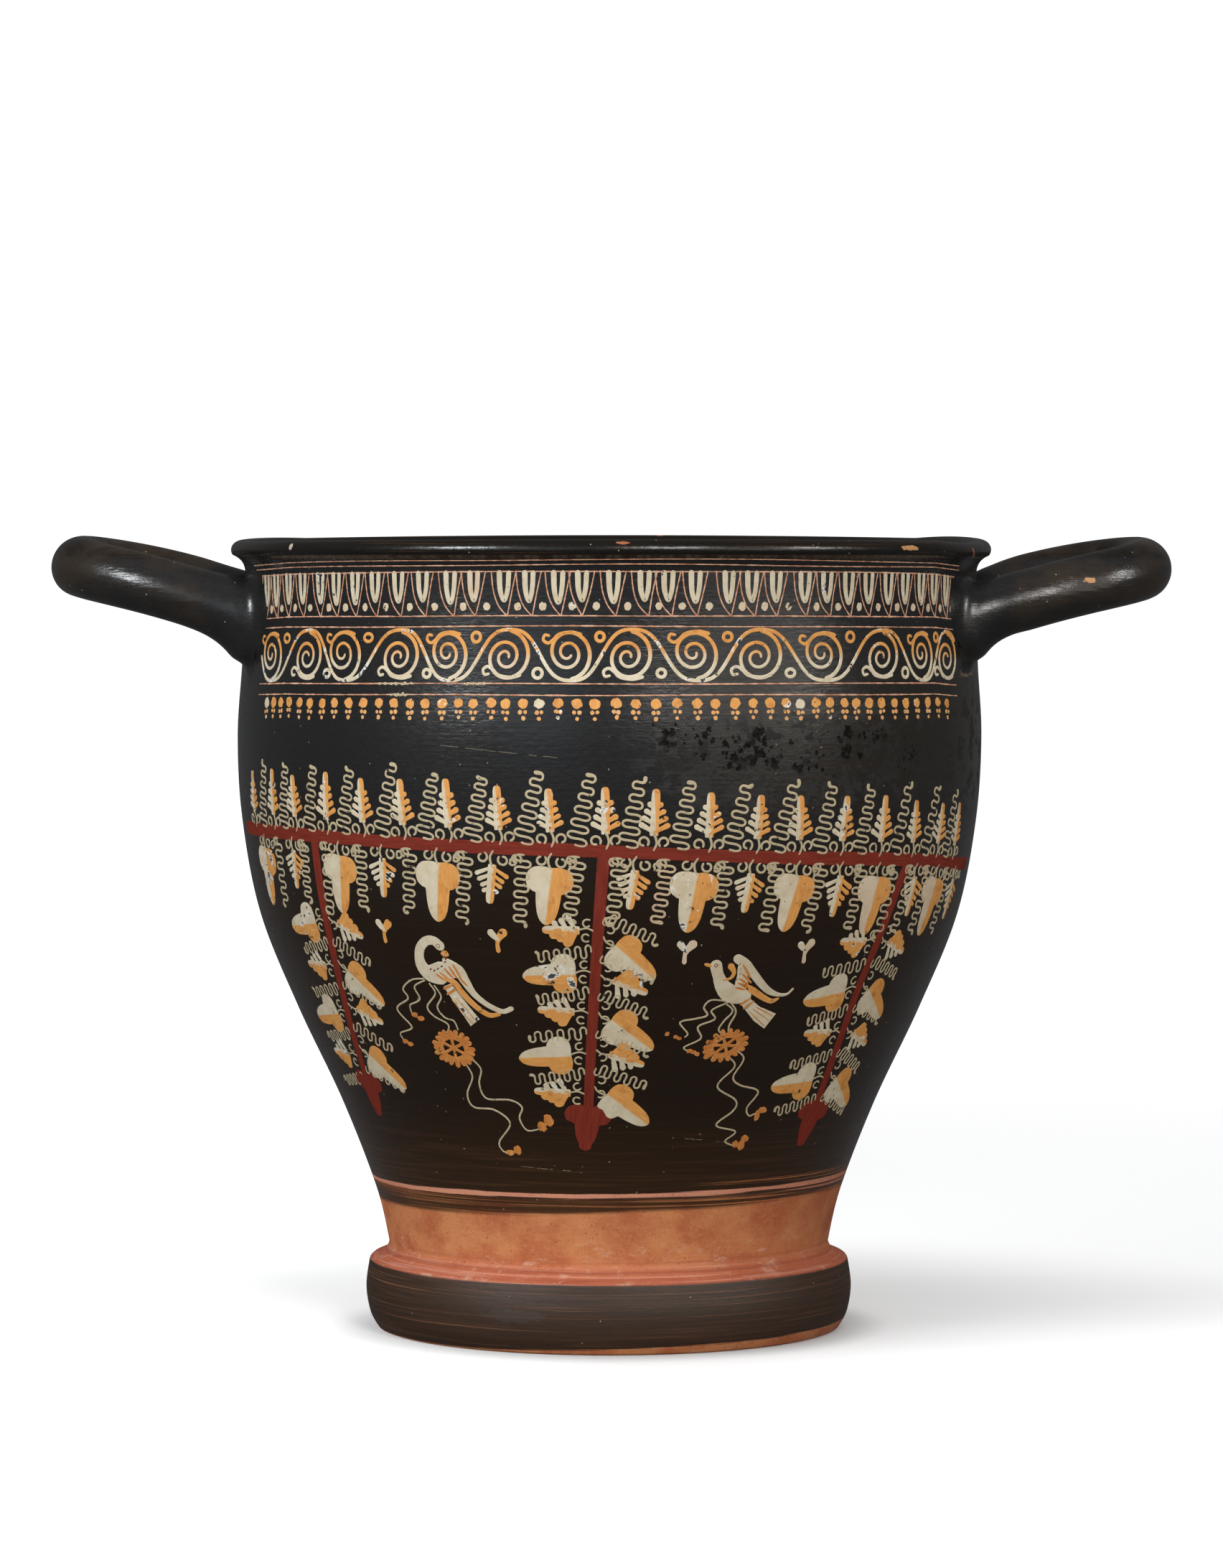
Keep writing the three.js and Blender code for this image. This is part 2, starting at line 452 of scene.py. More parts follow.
def cup_profile():
    """Underside, foot, outer wall, lip, inner wall and floor."""
    foot = spline(FOOT_SIDE, 8)
    foot[0] += (-FOOT_EDGE, 0.0)
    recess_edge = (RECESS_RADIUS, RECESS_DEPTH)
    recess_end = (FOOT_INNER_RADIUS, RECESS_END_HEIGHT)
    inner = sunken(wall_line, WALL_THICKNESS)[::-1][::3]
    knee = (inner[-1, 0] - FLOOR_KNEE_INSET, FLOOR_HEIGHT)
    return np.vstack([
        [[0.0, RECESS_DEPTH]],
        flat_rings(RECESS_FIRST_RING, RECESS_RADIUS, 6, RECESS_DEPTH),
        bezier(recess_edge, (RECESS_BEND_RADIUS, RECESS_DEPTH), recess_end, 6)[1:],
        [[FOOT_INNER_RADIUS + FOOT_EDGE, 0.0], [FOOT_MIDDLE_RADIUS, 0.0]],
        foot[:-1],
        bezier(foot[-2], FOOT_SHOULDER, LEDGE_EDGE, 4)[1:],
        bezier(LEDGE_EDGE, LEDGE_BEND, tuple(wall_line[1]), 7)[1:-1],
        outer_line[1:],
        bead_arc(16)[1:],
        inner,
        bezier(inner[-1], knee, (FLOOR_FLAT_RADIUS, FLOOR_HEIGHT), 10)[1:],
        flat_rings(*FLOOR_RINGS, 4, FLOOR_HEIGHT),
        [[0.0, FLOOR_HEIGHT]],
    ])


def handle_centre(place):
    """Centre line of the right handle, from the front root at -1 round to the back root at 1."""
    angle = (math.pi / 2) * np.sin((math.pi / 2) * place)
    power = 2 / HANDLE_SQUARENESS
    outward = np.maximum(np.cos(angle), 0.0) ** power
    x = blend(HANDLE_ROOT_DEPTH, HANDLE_REACH, outward)
    y = HANDLE_HALF_SPREAD * np.sign(angle) * np.abs(np.sin(angle)) ** power
    rise = HANDLE_RISE * (x - HANDLE_REACH) + HANDLE_ARCH * np.sin(math.pi * outward)
    return np.column_stack([x, y, HANDLE_END_HEIGHT + rise])


def handle_body(name, side):
    """One handle as a closed bar, on the right for side 1 and on the left for side -1."""
    place = np.linspace(-1.0, 1.0, HANDLE_STEPS + 1)
    centre = handle_centre(place)
    ahead = handle_centre(np.minimum(place + TANGENT_STEP, 1.0))
    behind = handle_centre(np.maximum(place - TANGENT_STEP, -1.0))
    along = ahead - behind
    along /= np.linalg.norm(along, axis=1)[:, None]
    up = np.array([-HANDLE_RISE, 0.0, 1.0]) / math.hypot(HANDLE_RISE, 1.0)
    sideways = np.cross(up, along)
    sideways /= np.linalg.norm(sideways, axis=1)[:, None]
    gap = np.hypot(centre[:, 0], centre[:, 1]) - wall_radius(length_at(centre[:, 2]))
    flare_length = FLARE_LENGTH_RIGHT if side > 0 else FLARE_LENGTH_LEFT
    flare_below = FLARE_BELOW_RIGHT if side > 0 else FLARE_BELOW_LEFT
    flare = np.clip(1 - gap / flare_length, 0.0, 1.0)[:, None] ** FLARE_POWER
    turn = np.linspace(0.0, 2 * math.pi, BAR_SIDES, endpoint=False)[None, :]
    flare_up = np.where(np.sin(turn) < 0, flare_below, FLARE_ABOVE)
    height = (BAR_HALF_HEIGHT + flare * flare_up) * np.sin(turn)
    width = (BAR_HALF_WIDTH + flare * FLARE_SIDEWAYS) * np.cos(turn)
    points = centre[:, None, :] + height[..., None] * up + width[..., None] * sideways[:, None, :]
    x, y, z = (points.reshape(-1, 3) * np.array([side, side, 1.0])).T
    swung_x = x * math.cos(HANDLE_SWING) + y * math.sin(HANDLE_SWING)
    swung_y = y * math.cos(HANDLE_SWING) - x * math.sin(HANDLE_SWING)
    faces = ring_faces(HANDLE_STEPS + 1, BAR_SIDES)
    last = HANDLE_STEPS * BAR_SIDES
    faces.append(tuple(range(BAR_SIDES))[::-1])
    faces.append(tuple(range(last, last + BAR_SIDES)))
    return make_object(name, np.column_stack([swung_x, swung_y, z]), faces)


def combine(target, other, operation):
    """Joins or cuts one closed body with another, and removes the other."""
    change = target.modifiers.new("combine", "BOOLEAN")
    change.operation = operation
    change.solver = "MANIFOLD"
    change.object = other
    graph = bpy.context.evaluated_depsgraph_get()
    result = bpy.data.meshes.new_from_object(target.evaluated_get(graph))
    target.modifiers.clear()
    target.data = result
    bpy.data.objects.remove(other)


def read_points(mesh):
    flat = np.zeros(len(mesh.vertices) * 3)
    mesh.vertices.foreach_get("co", flat)
    return flat.reshape(-1, 3) / MM


def read_edges(mesh):
    flat = np.zeros(len(mesh.edges) * 2, int)
    mesh.edges.foreach_get("vertices", flat)
    return flat.reshape(-1, 2)


def soften_roots(points, edges):
    """Rounds the seam where the handles meet the wall, as wet clay smeared over it."""
    x, y, z = points.T
    off_wall = np.hypot(x, y) - wall_radius(length_at(z))
    near_root = (np.abs(x) > ROOT_SIDE) & (z > ROOT_LOW) & (z < ROOT_HIGH)
    on_wall = near_root & (np.abs(off_wall) < ON_WALL)
    on_handle = near_root & (off_wall > ON_HANDLE)
    seam = set()
    for first, second in np.vstack([edges, edges[:, ::-1]]):
        if on_wall[first] and on_handle[second]:
            seam.add(first)
    tree = KDTree(len(seam))
    for order, index in enumerate(sorted(seam)):
        tree.insert(points[index], order)
    tree.balance()
    weight = np.zeros(len(points))
    for index in np.flatnonzero(near_root & (off_wall > BEHIND_WALL)):
        distance = tree.find(points[index])[2]
        weight[index] = smooth_step(ROOT_SMOOTHING_REACH, 0.0, distance)
    local = edges[(weight[edges[:, 0]] > 0) | (weight[edges[:, 1]] > 0)]
    moving = np.flatnonzero(weight > 0)
    count = np.bincount(local.ravel(), minlength=len(points))[moving, None]
    for _ in range(ROOT_SMOOTHING_ROUNDS):
        total = np.zeros_like(points)
        np.add.at(total, local[:, 0], points[local[:, 1]])
        np.add.at(total, local[:, 1], points[local[:, 0]])
        mean = total[moving] / count
        points[moving] += weight[moving, None] * ROOT_SMOOTHING_SHARE * (mean - points[moving])
    return points


def set_floats(mesh, name, values):
    attribute = mesh.attributes.new(name, "FLOAT", "POINT")
    attribute.data.foreach_set("value", np.asarray(values, np.float32))


def make_cup():
    cup = turned("skyphos_body", cup_profile(), TURNS)
    core_line = sunken(wall_line, WALL_THICKNESS / 2)
    core_profile = np.vstack([[0.0, core_line[0, 1]], core_line, [0.0, core_line[-1, 1]]])
    for side in (1.0, -1.0):
        handle = handle_body("handle", side)
        combine(handle, turned("core", core_profile, CORE_TURNS), "DIFFERENCE")
        combine(cup, handle, "UNION")
    mesh = cup.data
    mesh.name = "skyphos_body"
    points = soften_roots(read_points(mesh), read_edges(mesh))
    radius = np.hypot(points[:, 0], points[:, 1])
    middle = wall_radius(length_at(points[:, 2])) - WALL_THICKNESS / 2
    inside = (radius < middle) & (points[:, 2] > INSIDE_BOTTOM)
    under = (points[:, 2] < UNDERSIDE_TOP) & (radius < UNDERSIDE_RADIUS)
    mesh.vertices.foreach_set("co", (warp(points) * MM).ravel())
    set_floats(mesh, "inside", inside)
    set_floats(mesh, "under", under)
    mesh.shade_smooth()
    mesh.set_sharp_from_angle(angle=CUP_SHARP_ANGLE)
    mesh.update()
    return cup


# Paint on the wall
class Spot:
    """A place on the wall with its own flat drawing frame, x to the right and y up before it is turned."""

    def __init__(self, degrees, height, turn=0.0, mirror=1.0):
        self.angle = math.radians(degrees)
        self.length = float(length_at(height))
        self.turn = math.radians(turn)
        self.mirror = mirror

    def on_wall(self, drawing):
        drawing = np.asarray(drawing, float)
        x = drawing[:, 0] * self.mirror
        y = drawing[:, 1]
        right = x * math.cos(self.turn) - y * math.sin(self.turn)
        up = x * math.sin(self.turn) + y * math.cos(self.turn)
        length = self.length + up
        return self.angle + right / wall_radius(length), length


def filled(outline):
    """Triangles over an outline, with inner points so that they follow the curve of the wall."""
    low, high = outline.min(0), outline.max(0)
    rows = []
    for row, y in enumerate(np.arange(low[1], high[1], PATCH_SPACING * PATCH_ROW_SHARE)):
        xs = np.arange(low[0], high[0], PATCH_SPACING) + (row % 2) * PATCH_SPACING / 2
        rows.append(np.column_stack([xs, np.full(len(xs), y)]))
    grid = np.vstack(rows)
    ahead = np.roll(outline, -1, 0)
    x, y = grid[:, 0][:, None], grid[:, 1][:, None]
    crosses = (outline[:, 1] > y) != (ahead[:, 1] > y)
    rise = np.where(ahead[:, 1] == outline[:, 1], 1.0, ahead[:, 1] - outline[:, 1])
    at = outline[:, 0] + (y - outline[:, 1]) / rise * (ahead[:, 0] - outline[:, 0])
    inside = np.sum(crosses & (x < at), axis=1) % 2 == 1
    distance = np.min(np.hypot(x - outline[:, 0], y - outline[:, 1]), axis=1)
    clear = distance > PATCH_CLEARANCE * PATCH_SPACING
    points = np.vstack([outline, grid[inside & clear]])
    count = len(outline)
    ring = [(index, (index + 1) % count) for index in range(count)]
    made = delaunay_2d_cdt([Vector(point) for point in points], ring, [], 1, 1e-6)
    corners = np.array([tuple(point) for point in made[0]])
    triangles = np.array(made[2])
    a, b, c = (corners[triangles[:, corner]] for corner in range(3))
    area = np.cross(b - a, c - a)
    triangles[area < 0] = triangles[area < 0][:, ::-1]
    return corners, triangles[np.abs(area) > 1e-9]


def border(triangles):
    """Edges that belong to one triangle only, in the direction of that triangle."""
    sides = np.vstack([triangles[:, [0, 1]], triangles[:, [1, 2]], triangles[:, [2, 0]]])
    known = set(map(tuple, sides.tolist()))
    return np.array([side for side in sides.tolist() if (side[1], side[0]) not in known])


def slope(values, closed):
    if closed:
        return (np.roll(values, -1) - np.roll(values, 1)) / 2
    return np.gradient(values)


def rounded_ends(angle, length, width, split):
    """Adds a round end at both ends of a stroke."""
    radius = wall_radius(length)
    ends = []
    for here, inward in ((0, 1), (-1, -2)):
        out = np.array([(angle[here] - angle[inward]) * radius[here], length[here] - length[inward]])
        out /= np.linalg.norm(out) + 1e-12
        rows = []
        for reach, share in ROUND_END:
            far = reach * width[here] / 2
            end_angle = angle[here] + out[0] * far / radius[here]
            rows.append((end_angle, length[here] + out[1] * far, share * width[here], split[here]))
        ends.append(np.array(rows))
    head, tail = ends[0], ends[1][::-1]
    middle = np.column_stack([angle, length, width, split])
    return np.vstack([head, middle, tail]).T


class Layer:
    """One coat of paint: many thin closed strokes and patches on the wall."""

    def __init__(self, name):
        self.name = name
        self.points = []
        self.faces = []
        self.split = []
        self.tone = []
        self.brush = []
        self.places = []
        self.count = 0

    def add(self, points, faces, split, tone, brush, places):
        self.points.append(points)
        self.faces.extend([tuple(corner + self.count for corner in face) for face in faces])
        self.split.append(split)
        self.tone.append(np.full(len(points), tone))
        self.brush.append(brush)
        self.places.append(places)
        self.count += len(points)

    def wall_stroke(self, angle, length, width, split=CREAM, closed=False, lift=PAINT_LIFT):
        """A brush stroke along wall angles and wall lengths."""
        tone = hand.random()
        width = np.array(np.broadcast_to(width, len(angle)), float)
        split = np.array(np.broadcast_to(split, len(angle)), float)
        if not closed:
            angle, length, width, split = rounded_ends(angle, length, width, split)
        radius = wall_radius(length)
        along = np.column_stack([slope(angle, closed) * radius, slope(length, closed)])
        along /= np.linalg.norm(along, axis=1)[:, None] + 1e-12
        inner = max(2, math.ceil(width.max() / COLUMN_SPACING) + 1)
        bevel = np.minimum(BEVEL_SHARE, PAINT_BEVEL / width)[:, None]
        shares = np.linspace(-1.0, 1.0, inner)[None, :] * (0.5 - bevel)
        edge = np.full((len(angle), 1), 0.5)
        offset = np.hstack([-edge, shares, edge]) * width[:, None]
        columns = inner + 2
        angles = angle[:, None] - along[:, 1:] * offset / radius[:, None]
        lengths = length[:, None] + along[:, :1] * offset
        lifts = np.full(columns, lift)
        lifts[[0, -1]] = PAINT_SINK
        points = wall_point(angles.ravel(), lengths.ravel(), np.tile(lifts, len(angle)))
        stations = np.arange(len(angle) if closed else len(angle) - 1)
        here = stations[:, None] * columns + np.arange(columns)[None, :]
        there = ((stations + 1) % len(angle))[:, None] * columns + np.arange(columns)[None, :]
        top = np.stack([here[:, :-1], there[:, :-1], there[:, 1:], here[:, 1:]], axis=2).reshape(-1, 4)
        under = np.column_stack([here[:, 0], here[:, -1], there[:, -1], there[:, 0]])
        faces = np.vstack([top, under]).tolist()
        if not closed:
            last = (len(angle) - 1) * columns
            faces.append(list(range(columns)))
            faces.append(list(range(last, last + columns))[::-1])
        run = np.cumsum(np.hypot(np.gradient(angle) * radius, np.gradient(length)))
        runs = np.repeat(run[:, None], columns, 1)
        brush = np.stack([offset, runs, np.full_like(offset, BRUSH_SHIFT * tone)], axis=2)
        places = np.column_stack([angles.ravel(), lengths.ravel()])
        self.add(points, faces, np.repeat(split, columns), tone, brush.reshape(-1, 3), places)

    def stroke(self, spot, drawing, width, split=CREAM, closed=False, lift=PAINT_LIFT):
        """A brush stroke along a line drawn at a spot."""
        angle, length = spot.on_wall(drawing)
        self.wall_stroke(angle, length, width, split, closed, lift)

    def patch(self, spot, outline, split=CREAM):
        """A filled shape drawn at a spot. The split is one value or a function of the drawing's points."""
        tone = hand.random()
        corners, triangles = filled(np.asarray(outline, float))
        edges = border(triangles)
        angle, length = spot.on_wall(corners)
        count = len(corners)
        lift = np.full(count, PATCH_LIFT)
        lift[edges[:, 0]] = PATCH_EDGE_LIFT
        top = wall_point(angle, length, lift)
        bottom = wall_point(angle, length, np.full(count, PAINT_SINK))
        skirt = np.column_stack([edges[:, 0], edges[:, 0] + count, edges[:, 1] + count, edges[:, 1]])
        faces = triangles.tolist() + (triangles[:, ::-1] + count).tolist() + skirt.tolist()
        if spot.mirror < 0:
            faces = [face[::-1] for face in faces]
        values = split(corners) if callable(split) else np.full(count, split)
        brush = np.column_stack([corners, np.full(count, BRUSH_SHIFT * tone)])
        places = np.column_stack([angle, length])
        both = (np.tile(values, 2), tone, np.tile(brush, (2, 1)), np.tile(places, (2, 1)))
        self.add(np.vstack([top, bottom]), faces, *both)

    def dot(self, spot, half_width, half_height, split):
        ragged = 1 + 0.07 * hand.standard_normal(DOT_POINTS)
        self.patch(spot, ragged_round(half_width, half_height, ragged), split)

    def finish(self, material, slot):
        """The layer as one piece of the object."""
        piece = make_object(self.name, np.vstack(self.points), self.faces)
        mesh = piece.data
        set_floats(mesh, "split", np.concatenate(self.split))
        set_floats(mesh, "tone", np.concatenate(self.tone))
        brush = mesh.attributes.new("brush", "FLOAT_VECTOR", "POINT")
        brush.data.foreach_set("vector", np.vstack(self.brush).astype(np.float32).ravel())
        places = np.vstack(self.places)
        unrolled = np.column_stack([
            (places[:, 0] / (2 * math.pi) + 0.25) % 1.0,
            np.clip(places[:, 1] / outer_length[-1], 0.0, 1.0),
        ])
        corners = np.zeros(len(mesh.loops), int)
        mesh.loops.foreach_get("vertex_index", corners)
        chart = mesh.uv_layers.new(name="OFBake")
        chart.data.foreach_set("uv", unrolled[corners].astype(np.float32).ravel())
        mesh.set_sharp_from_angle(angle=PAINT_SHARP_ANGLE)
        mesh.materials.append(material)
        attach(piece, "root")


# Motifs, drawn flat in millimetres
def ragged_round(half_width, half_height, ragged):
    """A round outline, each point of it moved out or in by its own share."""
    turn = np.linspace(0.0, 2 * math.pi, len(ragged), endpoint=False)
    return np.column_stack([half_width * np.cos(turn), half_height * np.sin(turn)]) * ragged[:, None]


def mirrored(half, tip):
    """A closed smooth outline from its right half, a stalk at the origin and a tip above it."""
    right = np.array(half)
    left = right[::-1] * np.array([-1.0, 1.0])
    points = np.vstack([[[0.0, 0.0]], right, [[0.0, tip]], left])
    return spline(points, 5, closed=True)


def moved(outline, x, y):
    return outline + np.array([x, y])


def along_line(line, values):
    """Values spread evenly over the points of a line."""
    return np.interp(np.linspace(0.0, 1.0, len(line)), np.linspace(0.0, 1.0, len(values)), values)


def tapered(layer, spot, points, widths, split=CREAM, lift=PAINT_LIFT):
    """A brush stroke through points, with its width given along it."""
    line = spline(points, 8)
    layer.stroke(spot, line, along_line(line, widths), split, lift=lift)


def lobed_leaf(layer, spot, base, height, half_width, fingers, standing=True, merged=False):
    """A leaf with round fingers on both sides of a core that ends in a blunt tongue."""
    split = standing_split if standing else hanging_split
    half_core = (
        (0.9, 0.0), (1.05, 1.0), (1.0, 0.5 * height), (TONGUE_HALF, 0.8 * height), (0.8, height - 0.4),
    )
    layer.patch(spot, moved(mirrored(half_core, height), 0.0, base), split)
    pitch = FINGERED_SHARE * height / fingers
    for order in range(fingers):
        level = base + pitch * (order + 0.45)
        reach = blend(half_width, TONGUE_HALF + TOP_FINGER, order / fingers)
        for direction in (-1.0, 1.0):
            cream = standing == (direction < 0)
            thick = pitch * (MERGED_FINGER if merged and not cream else hand.uniform(0.73, 0.8))
            tip = direction * (reach * hand.uniform(0.93, 1.05) - thick / 2)
            bend = (0.6 * tip, level + 0.25 * reach)
            line = spline(((0.2 * direction, level), bend, (tip, level + FINGER_RISE * reach)), 4)
            widths = along_line(line, (0.6 * thick, 0.82 * thick, thick))
            layer.stroke(spot, line, widths, CREAM if cream else ORANGE)


def squiggle(height, wide, narrow, waves):
    """An overhanging wavy tendril that grows up from the origin."""
    phase = np.linspace(0.0, 2 * math.pi * waves, int(waves * 15) + 1)
    share = phase / phase[-1]
    climb = height / phase[-1]
    x = blend(wide, narrow, share) * np.sin(phase)
    y = climb * (phase - 0.7 * np.sin(2 * phase))
    return np.column_stack([x, y])


def circle(centre, radius, start, count):
    """Points round a circle, from a start angle in degrees."""
    angle = np.radians(np.linspace(start, start + 360, count, endpoint=False))
    return np.column_stack([centre[0] + radius * np.cos(angle), centre[1] + radius * np.sin(angle)])


def edged(corners):
    """A closed outline along straight sides, with points close enough to follow the wall."""
    corners = np.asarray(corners, float)
    sides = []
    for start, end in zip(corners, np.roll(corners, -1, 0)):
        count = max(1, math.ceil(np.linalg.norm(end - start) / EDGE_SPACING))
        sides.append(np.linspace(start, end, count, endpoint=False))
    return np.vstack(sides)


def standing_split(corners):
    """Orange on the right of a standing leaf and on most of its tongue."""
    return corners[:, 0] + 0.1 * corners[:, 1] - 0.9


def hanging_split(corners):
    """Orange on the left in the drawing, which is the right of a hanging leaf."""
    return 0.05 * corners[:, 1] - corners[:, 0] - 0.6


def wobbly(angle, amount):
    """A slow unsteadiness of the hand along a line."""
    waves = hand.uniform(3.0, 9.0, 4)
    starts = hand.uniform(0.0, 6.3, 4)
    return amount * sum(np.sin(wave * angle + start) for wave, start in zip(waves, starts)) / 2


# Bands under the lip
def sagged(degrees, height):
    """The bands sink a little towards the handles."""
    return height - BAND_SAG * (degrees / PANEL_RIGHT) ** 2


def ring_line(layer, side, height, width, left=PANEL_LEFT, right=PANEL_RIGHT):
    degrees = np.linspace(left, right, 150) + hand.uniform(-0.6, 0.6)
    angle = np.radians(degrees)
    heights = sagged(degrees, height) + wobbly(angle, 0.1)
    widths = width * (1 + 0.22 * hand.standard_normal(len(angle)).clip(-1.5, 1.5))
    layer.wall_stroke(angle + math.radians(side), length_at(heights), widths)


def ovolo(lines, slip, side):
    """Tongues in incised eggs, with a dot between each pair."""
    drop = OVOLO_TOP - OVOLO_BOTTOM
    first, last = PANEL_LEFT + OVOLO_MARGINS[0], PANEL_RIGHT - OVOLO_MARGINS[1]
    for place in np.arange(first, last, OVOLO_PITCH):
        degrees = place + hand.uniform(-0.5, 0.5)
        spot = Spot(side + degrees, sagged(degrees, OVOLO_BOTTOM))
        lean = hand.uniform(-0.4, 0.6)
        left = spline(((-3.2, drop), (-2.6, 5.8), (-1.3, 2.4), (0.4 + lean, 0.0)), 6)
        right = spline(((3.0, drop), (1.9, 5.4), (0.6 + lean, 0.4)), 6)
        lines.stroke(spot, left, EGG_LINE)
        lines.stroke(spot, right, EGG_LINE)
        tip = hand.uniform(3.0, 3.8)
        half = hand.uniform(0.85, 1.05)
        tongue = spline((
            (-1.15 * half, drop - 0.4), (-half, 6.6), (-0.5 * half, tip + 0.9), (0.1, tip),
            (0.55 * half, tip + 1.0), (half, 6.8), (1.2 * half, drop - 0.4),
        ), 5)
        slip.stroke(spot, tongue, along_line(tongue, (1.5, 1.4, 1.2, 1.1, 1.2, 1.3, 1.35)))
        between = Spot(side + degrees + OVOLO_PITCH / 2, sagged(degrees, OVOLO_BOTTOM + OVOLO_DOT_RISE))
        slip.dot(between, hand.uniform(0.8, 0.95), hand.uniform(0.9, 1.1), OVOLO_DOT_TINT)


def scroll(slip, side):
    """A running wave with a spiral in each hollow, turned over from one hollow to the next."""
    drop = SCROLL_TOP - SCROLL_BOTTOM
    middle = drop / 2
    swing = drop / 2 - 0.75
    places = np.array(SPIRALS)
    wave_degrees = np.linspace(PANEL_LEFT, PANEL_RIGHT, 420)
    turning = np.concatenate([[places[0] - SCROLL_PITCH], places, [places[-1] + SCROLL_PITCH]])
    phase = np.interp(wave_degrees, turning, math.pi * np.arange(-1, len(places) + 1))
    rise = -swing * blend(np.cos(phase), np.sin(math.pi / 2 * np.cos(phase)), ROUNDED_WAVE)
    heights = sagged(wave_degrees, SCROLL_BOTTOM + middle) + rise
    slip.wall_stroke(
        np.radians(wave_degrees + side), length_at(heights), SCROLL_STROKE, rise / SCROLL_FADE,
    )
    for step, degrees in enumerate(SPIRALS):
        flip = -1.0 if step % 2 else 1.0
        level = SCROLL_TOP if step % 2 else SCROLL_BOTTOM
        spot = Spot(side + degrees, sagged(degrees, level))
        nearest = np.sort(np.abs(places - degrees))[1:3].mean()
        stretch = np.array([np.clip(nearest / SCROLL_PITCH, 0.85, 1.1), flip])
        turn = np.linspace(0.0, SPIRAL_TURN + hand.uniform(-30.0, 30.0), 74)
        angle = np.radians(turn - SPIRAL_START)
        radius = np.interp(turn, np.arange(len(SPIRAL_RADII)) * 90.0, SPIRAL_RADII)
        radius = np.convolve(np.pad(radius, 4, "edge"), np.full(9, 1 / 9), "valid") * hand.uniform(0.95, 1.03)
        sway = hand.uniform(-0.25, 0.25)
        spiral = np.column_stack([
            sway - 0.9 + radius * np.cos(angle),
            0.75 + SPIRAL_RADII[0] + radius * np.sin(angle),
        ])
        hook = spline(SCROLL_HOOK, 5) + hand.uniform(-0.25, 0.25, 2)
        ring = circle(SCROLL_RING, 1.1, hand.uniform(0, 360), 14)
        ring = (ring - SCROLL_RING) * hand.uniform(0.85, 1.15, 2) + SCROLL_RING
        strokes = [(spiral, (1.1, 0.75), False), (hook, (1.0, 0.8), False)]
        if step + 1 < len(SPIRALS):
            strokes.append((ring, (0.95, 0.95), True))
        for line, widths, closed in strokes:
            placed = line * stretch
            tint = (placed[:, 1] - flip * middle) / SCROLL_FADE
            slip.stroke(spot, placed, np.linspace(*widths, len(line)), tint, closed)


def dot_row(slip, side):
    """Large dots, some of them worn pale, each with three small ones under it."""
    place = DOT_LEFT
    while place < DOT_RIGHT:
        degrees = place + hand.uniform(-0.2, 0.2)
        place += DOT_PITCH + DOT_DRIFT * math.cos(math.radians(7 * (place - DOT_LEFT - 20)))
        height = sagged(degrees, DOT_HEIGHT) + hand.uniform(-0.15, 0.15)
        big = hand.uniform(1.2, 1.4)
        tint = CREAM if hand.random() < WORN_DOTS else DOT_TINT
        slip.dot(Spot(side + degrees, height), big, big * hand.uniform(0.88, 1.0), tint)
        for x, y in SMALL_DOTS:
            spread = hand.uniform(-0.12, 0.12, 2)
            small = hand.uniform(0.44, 0.56)
            aside = math.degrees((x + spread[0]) / WALL_STATIONS[-1][0])
            slip.dot(Spot(side + degrees + aside, height + y + spread[1]), small, small, SMALL_DOT_TINT)


# Vine under the bands
def band_height(degrees):
    return VINE_HEIGHT - VINE_TILT * degrees - VINE_BEND * degrees**2


def coil(centre, outer, inner, start, turn):
    """A small spiral about a centre, from a start angle through a turn in degrees."""
    share = np.linspace(0.0, 1.0, 24)
    angle = np.radians(start + turn * share)
    radius = blend(outer, inner, share)
    return np.column_stack([centre[0] + radius * np.cos(angle), centre[1] + radius * np.sin(angle)])


def curls(slip, spot):
    """The stalk of a leaf, with an open ring on each side of it."""
    stalk = spline(((0.2, -0.5), (0.75, 0.8), (0.55, 2.1), (0.0, 3.2)), 5)
    slip.stroke(spot, stalk, CURL_STROKE)
    for centre, start, turn in ((-2.45, -40, 300), (2.6, -140, -290)):
        middle = (centre + hand.uniform(-0.15, 0.15), 1.25 + hand.uniform(-0.15, 0.15))
        ring = coil(middle, 1.3, 0.85, start + hand.uniform(-20, 20), turn)
        slip.stroke(spot, ring, CURL_STROKE)


def tendril(slip, spot, height, swing, waves, stroke=TENDRIL_STROKE):
    line = squiggle(height, *swing, waves)
    width = np.full(len(line), stroke)
    width[-4:] *= (1.15, 1.4, 1.6, 1.6)
    slip.stroke(spot, line, width)


def upper_vine(layers, side):
    """Leaves and tendrils that stand on the vine band."""
    half_band = VINE_BAND_WIDTH / 2
    for degrees in UPPER_LEAVES:
        height = VINE_LEAF_HEIGHT * hand.uniform(0.93, 1.08)
        half = VINE_LEAF_HALF * hand.uniform(0.92, 1.1)
        spot = Spot(side + degrees, band_height(degrees) + half_band - BAND_OVERLAP, turn=hand.uniform(-4, 3))
        lobed_leaf(layers["leaves"], spot, VINE_STALK, height, half, VINE_FINGERS)
        curls(layers["curls"], spot)
    for before, after in zip(UPPER_LEAVES[:-1], UPPER_LEAVES[1:]):
        degrees = blend(before, after, 0.45)
        lean = VINE_LEAN + hand.uniform(-3, 3)
        spot = Spot(side + degrees, band_height(degrees) + half_band - BAND_OVERLAP, turn=lean)
        tendril(layers["tendrils"], spot, hand.uniform(15.6, 18.0), UPPER_TENDRIL, hand.uniform(5.2, 5.8))


